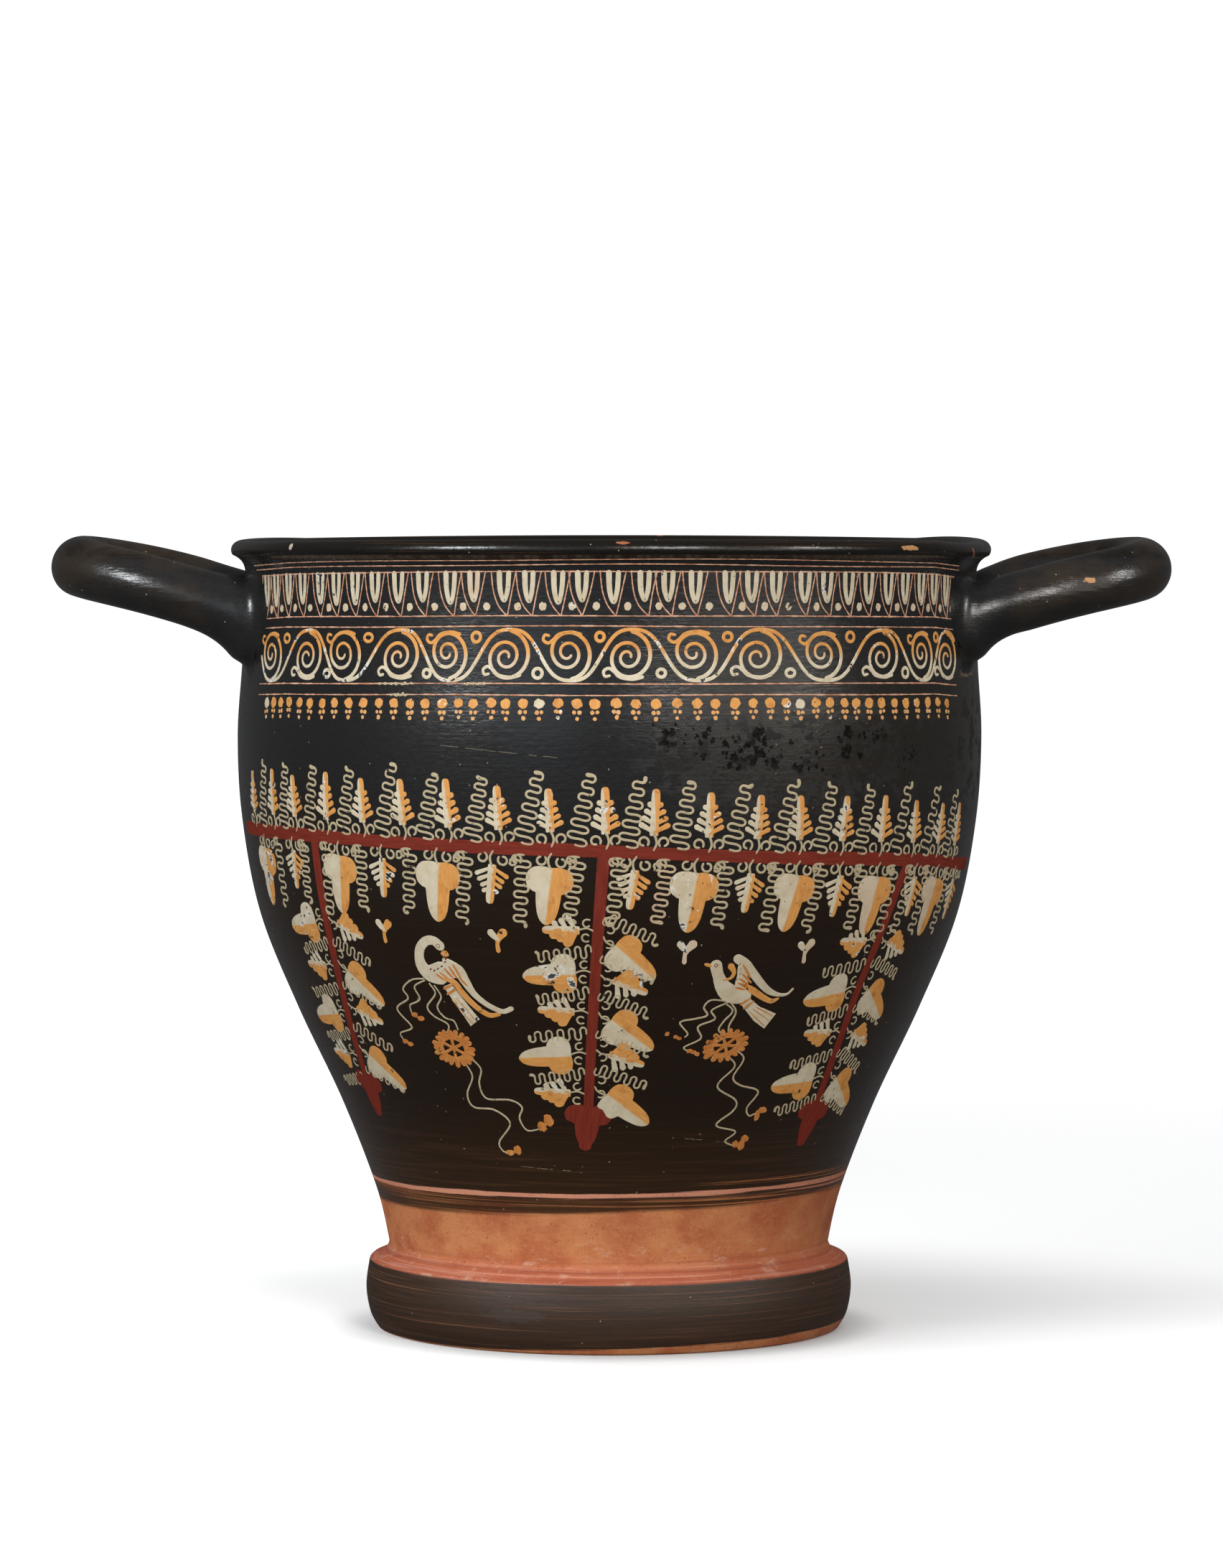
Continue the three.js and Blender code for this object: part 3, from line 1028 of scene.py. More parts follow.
def lower_vine(layers, side, stems):
    """Leaves and tendrils that hang under the vine band."""
    half_band = VINE_BAND_WIDTH / 2
    hanging = sorted(LOWER_IVY + LOWER_VINE)
    ivy = mirrored(IVY_HALF, IVY_TIP)
    for degrees in hanging:
        lean = HANGING_LEAN + hand.uniform(-3, 3)
        spot = Spot(side + degrees, band_height(degrees) - half_band + BAND_OVERLAP, turn=180 + lean)
        curls(layers["curls"], spot)
        extra = coil((-5.0, 1.2), 1.0, 0.6, hand.uniform(40, 80), 330)
        layers["curls"].stroke(spot, extra, CURL_STROKE)
        if degrees in LOWER_IVY:
            outline = moved(ivy * hand.uniform(0.96, 1.03), 0.0, VINE_STALK)
            layers["leaves"].patch(spot, outline, hanging_split)
        else:
            height = HANGING_LEAF_HEIGHT * hand.uniform(0.95, 1.05)
            shape = (HANGING_STALK, height, HANGING_LEAF_HALF, VINE_FINGERS)
            lobed_leaf(layers["leaves"], spot, *shape, standing=False)
    hanging = sorted(hanging + list(stems))
    for before, after in zip(hanging[:-1], hanging[1:]):
        degrees = blend(before, after, 0.52)
        lean = HANGING_LEAN + hand.uniform(-4, 1)
        spot = Spot(side + degrees, band_height(degrees) - half_band + BAND_OVERLAP, turn=180 + lean)
        tendril(layers["tendrils"], spot, hand.uniform(15.2, 18.0), LOWER_TENDRIL, hand.uniform(5.4, 6.0))
        layers["curls"].stroke(spot, coil((1.7, 1.2), 1.3, 0.8, 150, 300), CURL_STROKE)


def vine_band(layers, side):
    degrees = np.linspace(-VINE_HALF_ANGLE, VINE_HALF_ANGLE, 190)
    angle = np.radians(degrees)
    heights = band_height(degrees) + wobbly(angle, 0.12)
    widths = VINE_BAND_WIDTH + wobbly(angle, 0.15)
    layers["red"].wall_stroke(angle + math.radians(side), length_at(heights), widths, lift=BAND_LIFT)


# Turn of the sprigs at the sides of a stem, and their order from the top down
SPRIG_TURNS = {
    "ivy": {"left": 98.0, "right": -130.0},
    "vine": {"left": 90.0, "right": -114.0},
    "tendril": {"left": 99.0, "right": -114.0},
}
SPRIG_ORDER = ("ivy", "tendril", "vine", "tendril")

# For each stem and side: the first sprig's place in the order, their number, and the first and last height
STEM_SPRIGS = (
    {"left": (0, 8, 106.7, 66.5), "right": (2, 8, 107.5, 69.5)},
    {"left": (2, 9, 106.4, 65.6), "right": (3, 10, 109.5, 67.3)},
    {"left": (2, 8, 101.8, 62.0), "right": (2, 8, 102.6, 63.0)},
)


def sprig(layers, kind, spot):
    """A leaf or a tendril at the side of a stem."""
    if kind == "tendril":
        height = hand.uniform(12.6, 14.2)
        tendril(layers["tendrils"], spot, height, STEM_TENDRIL, hand.uniform(5.0, 5.6), STEM_TENDRIL_STROKE)
        return
    stalk = spline(((0.0, 0.0), (0.5, 1.2), (0.4, 2.4), (0.0, STEM_STALK)), 5)
    layers["curls"].stroke(spot, stalk, STEM_CURL_STROKE)
    if kind == "ivy":
        outline = mirrored(IVY_HALF, IVY_TIP) * STEM_IVY_SCALE
        layers["leaves"].patch(spot, moved(outline, 0.0, STEM_STALK), hanging_split)
    else:
        lobed_leaf(layers["leaves"], spot, *STEM_LEAF, standing=False, merged=True)


def stem(layers, route, sprigs):
    """A red stem with leaves and tendrils in turn on both sides, small curls along it, and a finial."""
    line = spline(route, 14)
    widths = np.linspace(STEM_WIDTH, STEM_WIDTH - STEM_TAPER, len(line))
    layers["red"].wall_stroke(np.radians(line[:, 0]), length_at(line[:, 1]), widths, lift=STEM_LIFT)
    finial = Spot(line[-1, 0], line[-1, 1] + 0.3, turn=180 + FINIAL_LEAN)
    layers["red"].patch(finial, mirrored(FINIAL_HALF, FINIAL_TIP))

    def beside(height, direction):
        degrees = np.interp(-height, -line[:, 1], line[:, 0])
        radius = float(wall_radius(length_at(height)))
        return degrees + direction * math.degrees((STEM_WIDTH / 2 - BAND_OVERLAP) / radius)

    for name, direction in (("left", -1.0), ("right", 1.0)):
        first, count, top, bottom = sprigs[name]
        heights = np.linspace(top, bottom, count)
        for index, height in enumerate(heights):
            kind = SPRIG_ORDER[(first + index) % len(SPRIG_ORDER)]
            turn = SPRIG_TURNS[kind][name] + hand.uniform(-4, 4)
            sprig(layers, kind, Spot(beside(height, direction), height, turn=turn))
            if kind == "tendril":
                continue
            for order, offset in enumerate((-CURL_OFFSET, CURL_OFFSET)):
                place = Spot(beside(height + offset, direction), height + offset, mirror=direction)
                start, turn = ((110, -250) if order else (-110, 250))
                ring = coil((1.5, 0.0), 1.1, 0.8, start + hand.uniform(-15, 15), turn)
                layers["curls"].stroke(place, ring, STEM_CURL_STROKE)


# Birds with ribbons and wreaths
def marks(layer, spot, pairs, width):
    """Short strokes of orange from point to point on top of other paint."""
    for start, end in pairs:
        tapered(layer, spot, (start, end), (0.7 * width, width, 0.7 * width), ORANGE, TOP_LIFT)


def ticks(layer, spot, places, step, width):
    """Short strokes that all go the same step from their places."""
    marks(layer, spot, [((x, y), (x + step[0], y + step[1])) for x, y in places], width)


def blobs(layer, spot, places):
    """Small round dabs of orange, as (x, y, half width, half height)."""
    for x, y, half_width, half_height in places:
        ragged = 1.25 + 0.1 * hand.standard_normal(DOT_POINTS)
        layer.patch(spot, moved(ragged_round(half_width, half_height, ragged), x, y), ORANGE)


def wreath(layer, spot, half_width, half_height, petals):
    """A ring with petals round it and crossing spokes."""
    def outward(angle):
        return np.column_stack([half_width * np.cos(angle), half_height * np.sin(angle)])

    turn = np.linspace(0.0, 2 * math.pi, 40, endpoint=False)
    layer.stroke(spot, outward(turn) * 0.64, 1.7, WREATH_TINT, closed=True, lift=WREATH_LIFT)
    for petal in range(petals):
        angle = 2 * math.pi * petal / petals + hand.uniform(-0.05, 0.05)
        out = outward([angle])[0] * hand.uniform(0.93, 1.04)
        line = np.array([out * 0.68, out * 0.82, out * 0.92])
        layer.stroke(spot, line, (1.1, 1.45, 1.5), WREATH_TINT, lift=PETAL_LIFT)
    for spoke in range(3):
        out = outward([math.pi * spoke / 3 + 0.5])[0] * 0.55
        layer.stroke(spot, np.array([-out, out * 0.0, out]), 0.95, WREATH_TINT, lift=SPOKE_LIFT)


def left_bird(layers, spot):
    """A dove that bends its neck back to its wing."""
    white, thin, red = layers["birds"], layers["ribbons"], layers["red"]
    neck = (
        (2.5, 28.0), (1.0, 29.2), (-1.1, 29.0), (-3.1, 27.2),
        (-3.9, 24.7), (-3.6, 22.2), (-1.9, 20.4), (0.7, 19.6),
    )
    wing = (
        (3.4, 23.9), (6.3, 21.5), (7.6, 18.6), (9.0, 15.6),
        (11.0, 13.3), (13.4, 11.6), (15.8, 10.7), (18.0, 11.5),
    )
    lower_wing = ((1.1, 19.3), (4.4, 18.3), (6.0, 15.6), (7.7, 13.2), (9.7, 11.1), (12.0, 9.6), (14.5, 9.9))
    tapered(white, spot, neck, (2.8, 2.5, 2.5, 2.6, 2.8, 3.6, 4.6, 4.4))
    tapered(white, spot, ((-1.6, 20.6), (1.5, 21.0), (4.6, 21.5)), (3.8, 5.6, 4.4), lift=BODY_LIFT)
    tapered(white, spot, wing, (2.0, 3.3, 2.7, 1.9, 1.6, 1.5, 1.4, 1.4), lift=WING_LIFT)
    tapered(white, spot, lower_wing, (0.8, 1.7, 1.8, 1.7, 1.6, 1.5, 1.1), ORANGE, FEATHER_LIFT)
    white.patch(spot, edged(((1.3, 17.0), (3.5, 17.9), (9.1, 8.4), (6.3, 6.4))), TAIL_TINT)
    marks(thin, spot, (((1.4, 16.5), (3.7, 17.4)), ((2.0, 15.0), (4.3, 16.3))), 1.0)
    marks(thin, spot, (((2.9, 13.4), (6.9, 7.3)), ((4.2, 14.0), (7.9, 8.3))), 0.5)
    feathers = (
        ((0.1, 20.3), (1.8, 19.0)), ((1.2, 20.8), (3.2, 19.2)), ((2.8, 21.8), (4.5, 19.5)),
        ((4.1, 22.4), (5.5, 19.6)), ((5.3, 23.0), (6.7, 19.3)), ((6.3, 19.6), (7.8, 17.6)),
    )
    marks(thin, spot, feathers, 0.9)
    blobs(white, spot, ((3.6, 25.9, 0.85, 0.65),))
    spots = ((-1.4, 21.5), (-0.4, 21.2), (0.7, 21.7), (1.9, 22.4), (3.1, 23.6), (3.5, 24.5))
    ticks(red, spot, spots, (0.25, 0.2), 0.75)
    red.stroke(spot, circle((2.1, 27.9), 0.5, 0, 11), 0.3, closed=True, lift=TOP_LIFT)


def right_bird(layers, spot):
    """A dove that looks ahead with raised wings."""
    white, thin, red = layers["birds"], layers["ribbons"], layers["red"]
    body = ((-6.0, 21.9), (-5.1, 19.4), (-3.5, 16.4), (-1.3, 14.4), (1.5, 13.7), (3.2, 13.6))
    wing = (
        (-0.6, 23.6), (1.6, 22.1), (4.1, 19.5), (6.7, 16.7),
        (9.2, 14.6), (12.0, 13.5), (14.5, 13.6), (15.9, 14.9),
    )
    lower_wing = ((1.7, 16.7), (4.2, 15.2), (6.4, 13.8), (8.6, 12.5), (10.5, 11.8), (12.1, 12.4))
    far_wing = ((-2.1, 21.6), (-1.1, 20.0), (-1.7, 18.5), (-3.6, 18.0))
    tapered(white, spot, body, (3.2, 2.9, 3.9, 5.0, 4.8, 2.6))
    tapered(white, spot, ((0.4, 21.4), (1.2, 18.8), (1.3, 15.5)), (1.6, 2.9, 4.0), lift=BODY_LIFT)
    tapered(white, spot, wing, (2.5, 2.7, 2.3, 2.1, 1.8, 1.2, 0.8, 0.7), lift=WING_LIFT)
    tapered(white, spot, lower_wing, (1.0, 1.9, 1.8, 1.6, 1.4, 0.7), ORANGE, FEATHER_LIFT)
    tapered(white, spot, far_wing, (1.8, 1.2, 0.9, 0.6), ORANGE, FEATHER_LIFT)
    tail = ((2.0, 11.4), (4.0, 13.0), (7.4, 10.4), (12.3, 8.3), (9.7, 4.3), (6.4, 6.6))
    white.patch(spot, edged(tail), TAIL_TINT)
    marks(thin, spot, (((2.1, 11.2), (4.3, 12.8)), ((3.2, 10.1), (5.3, 11.9))), 0.8)
    marks(thin, spot, (((4.8, 9.2), (9.4, 5.2)), ((5.6, 9.9), (10.5, 6.6)), ((6.5, 10.3), (11.4, 7.8))), 0.5)
    feathers = (
        ((0.1, 15.9), (2.3, 15.3)), ((0.5, 17.1), (3.1, 16.0)), ((0.7, 18.2), (3.0, 16.8)),
        ((1.3, 19.4), (3.7, 17.2)), ((1.0, 21.9), (3.3, 18.7)),
    )
    marks(thin, spot, feathers, 0.9)
    marks(white, spot, (((-7.3, 21.9), (-8.7, 22.3)),), 1.1)
    spots = ((0.0, 22.1), (0.4, 20.7), (0.4, 19.4), (-0.1, 17.9), (-0.6, 16.5))
    ticks(red, spot, spots, (0.2, 0.3), 0.4)
    red.stroke(spot, circle((-6.0, 22.0), 0.42, 0, 11), 0.4, closed=True, lift=TOP_LIFT)


# Each bird's group: place on the wall, turn, size and petals of the wreath, ribbons, dabs at their ends, bird
BIRD_GROUPS = (
    (
        (-29.5, 76.3), 0.0, (5.7, 5.0, 20),
        (
            ((2.2, -4.1), (3.2, -7.9), (0.5, -12.9), (1.4, -16.5), (7.0, -17.1), (10.3, -20.7),
             (6.4, -25.8), (6.5, -28.0), (7.6, -29.0)),
            ((4.1, -2.6), (6.1, -5.6), (4.6, -9.9), (5.6, -13.9), (11.7, -14.1), (14.4, -16.0),
             (13.1, -19.2), (14.3, -22.4), (17.3, -22.1)),
            ((-4.0, 18.9), (-7.7, 18.4), (-11.0, 15.9), (-10.2, 13.2), (-14.5, 10.2), (-11.3, 5.8),
             (-11.9, 4.6), (-15.3, 3.4), (-15.1, 1.8)),
            ((-3.9, 18.4), (-7.3, 16.6), (-6.5, 13.7), (-7.5, 12.5), (-10.0, 11.4), (-10.1, 9.4)),
            ((-2.6, 17.6), (-1.6, 14.9), (-4.8, 11.3), (-3.6, 8.8), (0.0, 6.6), (-0.7, 4.4)),
            ((-1.3, 17.1), (-0.1, 14.2), (-1.9, 11.2), (-0.5, 8.5), (1.9, 7.6), (2.5, 5.3)),
        ),
        (
            (8.7, -28.8, 0.9, 0.6), (10.7, -28.0, 0.8, 1.0), (18.4, -21.3, 0.9, 1.1), (20.3, -19.5, 1.0, 1.3),
            (-14.4, 1.2, 0.8, 0.55), (-13.0, 0.5, 0.8, 0.5), (-9.3, 8.8, 0.8, 0.6), (-7.6, 7.9, 0.9, 0.55),
        ),
        left_bird,
    ),
    (
        (21.5, 77.4), 20.0, (5.9, 4.2, 16),
        (
            ((1.8, -3.5), (3.6, -6.2), (0.0, -11.5), (5.6, -15.6), (5.7, -18.5), (1.6, -22.5),
             (7.2, -24.5), (4.8, -27.0), (6.8, -28.3)),
            ((3.6, -1.7), (5.7, -4.1), (3.8, -9.0), (6.0, -11.4), (11.6, -13.5), (9.3, -18.0),
             (10.3, -20.3), (11.9, -19.8)),
            ((-2.1, 12.3), (-5.8, 12.6), (-7.3, 10.7), (-6.1, 8.5), (-9.0, 7.6), (-12.6, 6.7),
             (-10.3, 3.7), (-10.7, 2.7)),
            ((-1.6, 11.7), (-5.2, 9.8), (-4.0, 7.4), (-7.9, 5.4), (-6.7, 2.2), (-10.4, -0.1), (-9.7, -1.1)),
            ((-2.0, 11.7), (0.3, 9.5), (-1.5, 6.8), (-2.5, 4.6), (-1.7, 3.4)),
            ((-0.7, 11.9), (1.2, 9.2), (0.1, 5.7), (0.1, 4.0)),
        ),
        (
            (7.7, -28.0, 0.6, 0.8), (9.4, -28.4, 0.8, 1.1), (10.2, -26.6, 0.9, 0.8), (12.6, -20.3, 0.6, 1.2),
            (14.0, -18.9, 1.0, 0.7), (-12.1, 2.3, 0.5, 0.35), (-13.1, 2.8, 0.5, 0.4), (-15.3, 3.6, 0.5, 0.45),
            (-9.0, -1.2, 0.6, 0.5), (-7.9, -1.6, 0.6, 0.45), (-6.9, -2.2, 0.5, 0.5),
        ),
        right_bird,
    ),
)


def bird_group(layers, place, wreath_turn, wreath_size, ribbons, dabs, bird):
    """A bird above a wreath, with ribbons that end in dabs."""
    spot = Spot(*place)
    thin = layers["ribbons"]
    wreath(thin, Spot(*place, turn=wreath_turn), *wreath_size)
    for points in ribbons:
        tapered(thin, spot, points, RIBBON_WIDTHS, RIBBON_TINT)
    blobs(thin, spot, dabs)
    bird(layers, spot)


def bud(slip, degrees, height, tint):
    """A small bud with two round lobes."""
    spot = Spot(degrees, height, turn=hand.uniform(-6, 6))
    tapered(slip, spot, ((0.1, -3.0), (0.0, -1.2), (0.4, 0.2), (1.5, 1.6)), (1.3, 1.1, 1.7, 2.4), tint)
    tapered(slip, spot, ((0.0, 0.0), (-0.8, 0.7), (-1.5, 1.5)), (1.2, 1.7, 1.9), CREAM, BODY_LIFT)


def scratch(layer, start, end, dashes):
    """A fine scratch between two places on the wall, broken into dashes."""
    cuts = np.sort(hand.uniform(0.0, 1.0, 2 * dashes)).reshape(-1, 2)
    for low, high in cuts:
        share = np.linspace(low, high, 12)
        angle = np.radians(blend(start[0], end[0], share))
        heights = blend(start[1], end[1], share) + wobbly(angle * 40, 0.05)
        layer.wall_stroke(angle, length_at(heights), SCRATCH_WIDTH, lift=SCRATCH_LIFT)


def deposit(layer, left, right, height):
    """A chalky crust along one of the lines."""
    degrees = np.linspace(left, right, 26)
    angle = np.radians(degrees)
    heights = sagged(degrees, height) + wobbly(angle * 60, 0.12)
    widths = np.abs(hand.normal(0.45, 0.25, len(angle))) + 0.12
    layer.wall_stroke(angle, length_at(heights), widths, lift=CRUST_LIFT)


def stains(layer, degrees, height):
    """A loose cluster of dull, ragged spots in the gloss."""
    for _ in range(STAINS_PER_CLUSTER):
        size = STAIN_SIZE * hand.lognormal(0.0, 0.55)
        outline = ragged_round(1.0, 1.2, size * hand.uniform(0.45, 1.25, 12))
        spot = Spot(degrees + STAIN_SPREAD[0] * hand.normal(), height + STAIN_SPREAD[1] * hand.normal())
        layer.patch(spot, outline)


# Materials
def linear(red, green, blue):
    """A colour given as it looks on screen, from 0 to 255."""
    parts = [value / 255 for value in (red, green, blue)]
    light = [part / 12.92 if part <= 0.04045 else ((part + 0.055) / 1.055) ** 2.4 for part in parts]
    return (*light, 1.0)


# The black of the glaze, by place, its stains, and a painted highlight
BLACK_COOL = (0.0135, 0.0133, 0.0135, 1.0)
BLACK_WARM = (0.0148, 0.0074, 0.0031, 1.0)
BLACK_LOW = (0.031, 0.0145, 0.0055, 1.0)
BLACK_FOOT = (0.036, 0.0165, 0.0075, 1.0)
# Lighter, warmer black for the front right of the upper wall: partly the glaze's own tone, partly a painted
# sheen where the lights on the right reflect
BLACK_RIGHT_TONE_AND_SHEEN = (0.018, 0.0145, 0.0105, 1.0)
BLACK_HANDLE = (0.028, 0.0205, 0.0145, 1.0)
BLACK_LIP = (0.007, 0.0055, 0.004, 1.0)
BLACK_BLOTCH = (0.004, 0.004, 0.004, 1.0)
GLAZE_THIN = (0.085, 0.036, 0.016, 1.0)
GLAZE_WORN = (0.2, 0.085, 0.035, 1.0)
# Painted highlight: a pale grey patch on the front left of the foot
GLAZE_PAINTED_HIGHLIGHT = linear(84, 86, 84)
GLAZE_SPECK = linear(178, 160, 140)
STAIN_DARK = (0.004, 0.0036, 0.0032, 1.0)
STAIN_PALE = (0.014, 0.012, 0.0105, 1.0)

# Bare clay, the red wash at its joint with the foot, and a painted shade for its right side
CLAY_LIGHT = linear(212, 136, 84)
CLAY_DEEP = linear(188, 104, 62)
CLAY_BRIGHT = linear(218, 146, 98)
CLAY_SCUM = linear(218, 176, 150)
CLAY_SPECK = linear(112, 58, 38)
CLAY_PAINTED_SHADE = linear(146, 74, 44)
CLAY_EDGE = linear(222, 154, 130)
WASH_RED = linear(180, 92, 70)
WASH_DARK = linear(150, 66, 48)
WASH_PALE = linear(226, 172, 150)
SEAM_RED = linear(132, 52, 38)
INCISED_DARK = linear(180, 114, 82)
INCISED_PALE = linear(222, 174, 142)

# Slip
THICK_CREAM = linear(218, 206, 180)
THICK_ORANGE = linear(218, 150, 76)
THIN_CREAM = linear(182, 168, 136)
THIN_ORANGE = linear(196, 118, 52)
SLIP_DIRTY = linear(198, 178, 144)
SLIP_PINK = linear(224, 160, 132)
SLIP_GOLD = linear(230, 176, 104)
SLIP_BROWN = linear(188, 116, 52)
SLIP_CHALK = linear(226, 222, 212)
SLIP_GREY = linear(66, 68, 64)
SLIP_GONE = (0.02, 0.014, 0.01, 1.0)
RED_DARK = linear(112, 38, 25)
RED_LIGHT = linear(130, 47, 32)
RED_WORN = linear(60, 26, 18)

# Edges of the black, as the height in the middle and the rise for each millimetre to the right
WALL_EDGE = (40.0, 0.5 / 60)
CLAY_LINE = 1.1
BAND_EDGE = (35.1, 1.9 / 60)
FOOT_STRIP = (1.5, 1.5 / 60)
FOOT_STRIP_LEAST = 0.4
FOOT_TOP = (17.7, 17.2)

# Chips, as angle, height, radius, half width, half height and colour
CHIP_PALE = linear(176, 164, 146)
CHIP_CLAY = linear(146, 88, 58)
CHIP_BUFF = linear(184, 136, 90)
CHIP_GREY = linear(124, 124, 120)
CHIPS = (
    (-54.5, 198.6, 96.3, 0.7, 1.0, CHIP_PALE),
    (1.6, 199.2, 95.9, 1.6, 0.35, CHIP_CLAY),
    (48.9, 198.0, 96.4, 3.4, 0.6, CHIP_BUFF),
    (69.0, 197.6, 96.4, 0.45, 2.6, CHIP_CLAY),
    (172.0, 200.2, 93.8, 1.4, 0.6, CHIP_CLAY),
    (75.5, 191.6, 123.8, 2.2, 1.0, CHIP_BUFF),
    (77.9, 198.2, 124.0, 1.3, 1.1, CHIP_GREY),
    (71.5, 182.4, 110.6, 0.6, 0.5, CHIP_CLAY),
    (73.0, 180.6, 97.5, 0.8, 0.5, CHIP_CLAY),
)

# The break below the right handle, its dark core a painted shade in the hollow, and the pale rim a little
# lower
BREAK_PLACE = (71.8, 168.8)
BREAK_REACH = (3.1, 7.9, 1.6)
BREAK_PAINTED_SHADE = (0.002, 0.0018, 0.0015, 1.0)
BREAK_RIM_REACH = (3.0, 7.6, 1.45)
BREAK_RIM_DROP = 0.7
BREAK_RIM = linear(120, 98, 76)

# Gloss and relief
GLAZE_SPECULAR = 0.36
CLAY_ROUGHNESS = 0.8
GLAZE_RELIEF = 0.00012
SLIP_RELIEF = 0.00005


class Finish:
    """A material and short calls for its nodes."""

    def __init__(self, name):
        self.material = bpy.data.materials.new(name)
        self.material.use_nodes = True
        self.tree = self.material.node_tree
        self.shader = self.tree.nodes["Principled BSDF"]
        place = self.node("TexCoord").outputs["Object"]
        self.place = self.node("VectorMath", {0: place, "Scale": 1 / MM}, operation="SCALE").outputs[0]

    def put(self, socket, value):
        """Links a node's output to an input, or sets the input to a plain value."""
        if isinstance(value, bpy.types.NodeSocket):
            self.tree.links.new(value, socket)
        else:
            socket.default_value = value

    def node(self, kind, inputs=None, **settings):
        made = self.tree.nodes.new("ShaderNode" + kind)
        for key, value in settings.items():
            setattr(made, key, value)
        for key, value in (inputs or {}).items():
            self.put(made.inputs[key], value)
        return made

    def shade(self, inputs):
        """Sets inputs of the shader, and gives the material back."""
        for name, value in inputs.items():
            self.put(self.shader.inputs[name], value)
        return self.material

    def axes(self):
        """The place's x, y and z in millimetres."""
        return tuple(self.node("SeparateXYZ", {0: self.place}).outputs)

    def math(self, operation, *values):
        return self.node("Math", dict(enumerate(values)), operation=operation).outputs[0]

    def minus(self, first, second):
        return self.math("SUBTRACT", first, second)

    def larger(self, first, second):
        return self.math("MAXIMUM", first, second)

    def line(self, start, rise, value):
        """A start and a rise times a value."""
        return self.math("MULTIPLY_ADD", value, rise, start)

    def product(self, first, *others):
        for other in others:
            first = self.math("MULTIPLY", first, other)
        return first

    def step(self, low, high, value):
        """Zero below low and one above high, with a smooth change between."""
        inputs = {"Value": value, "From Min": low, "From Max": high}
        return self.node("MapRange", inputs, interpolation_type="SMOOTHSTEP").outputs[0]

    def between(self, low, high, soft, value):
        """One between two limits, zero outside."""
        over_low = self.step(low - soft, low + soft, value)
        return self.product(over_low, self.step(high + soft, high - soft, value))

    def over(self, edge, soft, value):
        """One above an edge and zero below it, or the other way round where the softness is negative."""
        return self.step(-soft, soft, self.minus(value, edge))

    def mix(self, share, first, second):
        return self.node("Mix", {0: share, 6: first, 7: second}, data_type="RGBA").outputs[2]

    def coats(self, base, *coats):
        """Colours laid over a base one after the other, each as strong as the product of its masks."""
        for colour, *masks in coats:
            base = self.mix(self.product(*masks), base, colour)
        return base

    def noise(self, scale, detail, roughness, place=None):
        """Cloudy noise from 0 to 1, with its own scale along x, y and z per millimetre."""
        inputs = {0: place or self.place, 1: scale}
        stretched = self.node("VectorMath", inputs, operation="MULTIPLY").outputs[0]
        inputs = {"Vector": stretched, "Scale": 1.0, "Detail": detail, "Roughness": roughness}
        return self.node("TexNoise", inputs).outputs["Fac"]

    def specks(self, scale, size, share):
        """Small round specks in a share of the cells of a scattered pattern."""
        cells = self.node("TexVoronoi", {"Vector": self.place, "Scale": scale}).outputs
        choice = self.node("SeparateXYZ", {0: cells["Color"]}).outputs[0]
        chosen = self.step(share, 0.98 * share, choice)
        return self.product(self.step(size, 0.5 * size, cells["Distance"]), chosen)

    def near(self, centre, reach, ragged):
        """One inside a ragged blob about a point, zero outside."""
        offset = self.node("VectorMath", {0: self.place, 1: centre}, operation="SUBTRACT").outputs[0]
        narrow = tuple(1 / value for value in reach)
        scaled = self.node("VectorMath", {0: offset, 1: narrow}, operation="MULTIPLY").outputs[0]
        far = self.node("VectorMath", {0: scaled}, operation="LENGTH").outputs["Value"]
        return self.step(1.1, 0.9, self.line(self.minus(far, 0.8), 1.6, ragged))

    def attribute(self, name, output="Fac"):
        return self.node("Attribute", attribute_name=name).outputs[output]

    def bump(self, height, distance):
        return self.node("Bump", {"Height": height, "Distance": distance}).outputs["Normal"]


def clay_colour(finish, axes):
    """Bare clay: orange ground with mottling, specks and pale scum, redder at the joint with the foot, and
    darker towards the right as a painted shade.
    """
    x, _, z = axes
    cloud = finish.noise((0.09, 0.09, 0.12), 4.0, 0.6)
    fine = finish.noise((0.9, 0.9, 1.1), 3.0, 0.65)
    scum = finish.noise((0.16, 0.16, 0.34), 5.0, 0.7)
    lines = finish.noise((0.015, 0.015, 1.6), 4.0, 0.65)
    wash = finish.product(finish.step(28.0, 19.0, finish.line(z, 6.0, cloud)), finish.step(13.0, 16.0, z))
    specks = finish.larger(finish.specks(2.2, 0.32, 0.4), finish.specks(0.7, 0.2, 0.15))
    return finish.coats(
        CLAY_LIGHT,
        (CLAY_DEEP, finish.step(0.35, 0.68, cloud)),
        (CLAY_BRIGHT, finish.step(0.5, 0.75, fine), 0.5),
        (WASH_RED, wash, 0.8),
        (WASH_DARK, wash, finish.step(0.52, 0.66, lines), 0.8),
        (WASH_PALE, wash, finish.step(0.46, 0.36, lines), 0.6),
        (CLAY_SCUM, finish.step(0.55, 0.68, scum), finish.step(33.0, 24.0, z), 0.6),
        (SEAM_RED, finish.between(19.8, 20.4, 0.4, z), 0.5),
        (CLAY_EDGE, finish.between(38.5, 41.0, 0.4, z), 0.7),
        (CLAY_SPECK, specks, 0.7),
        # Painted shade: the clay darker towards the right, away from the light
        (CLAY_PAINTED_SHADE, finish.step(15.0, 55.0, x), 0.35),
    )


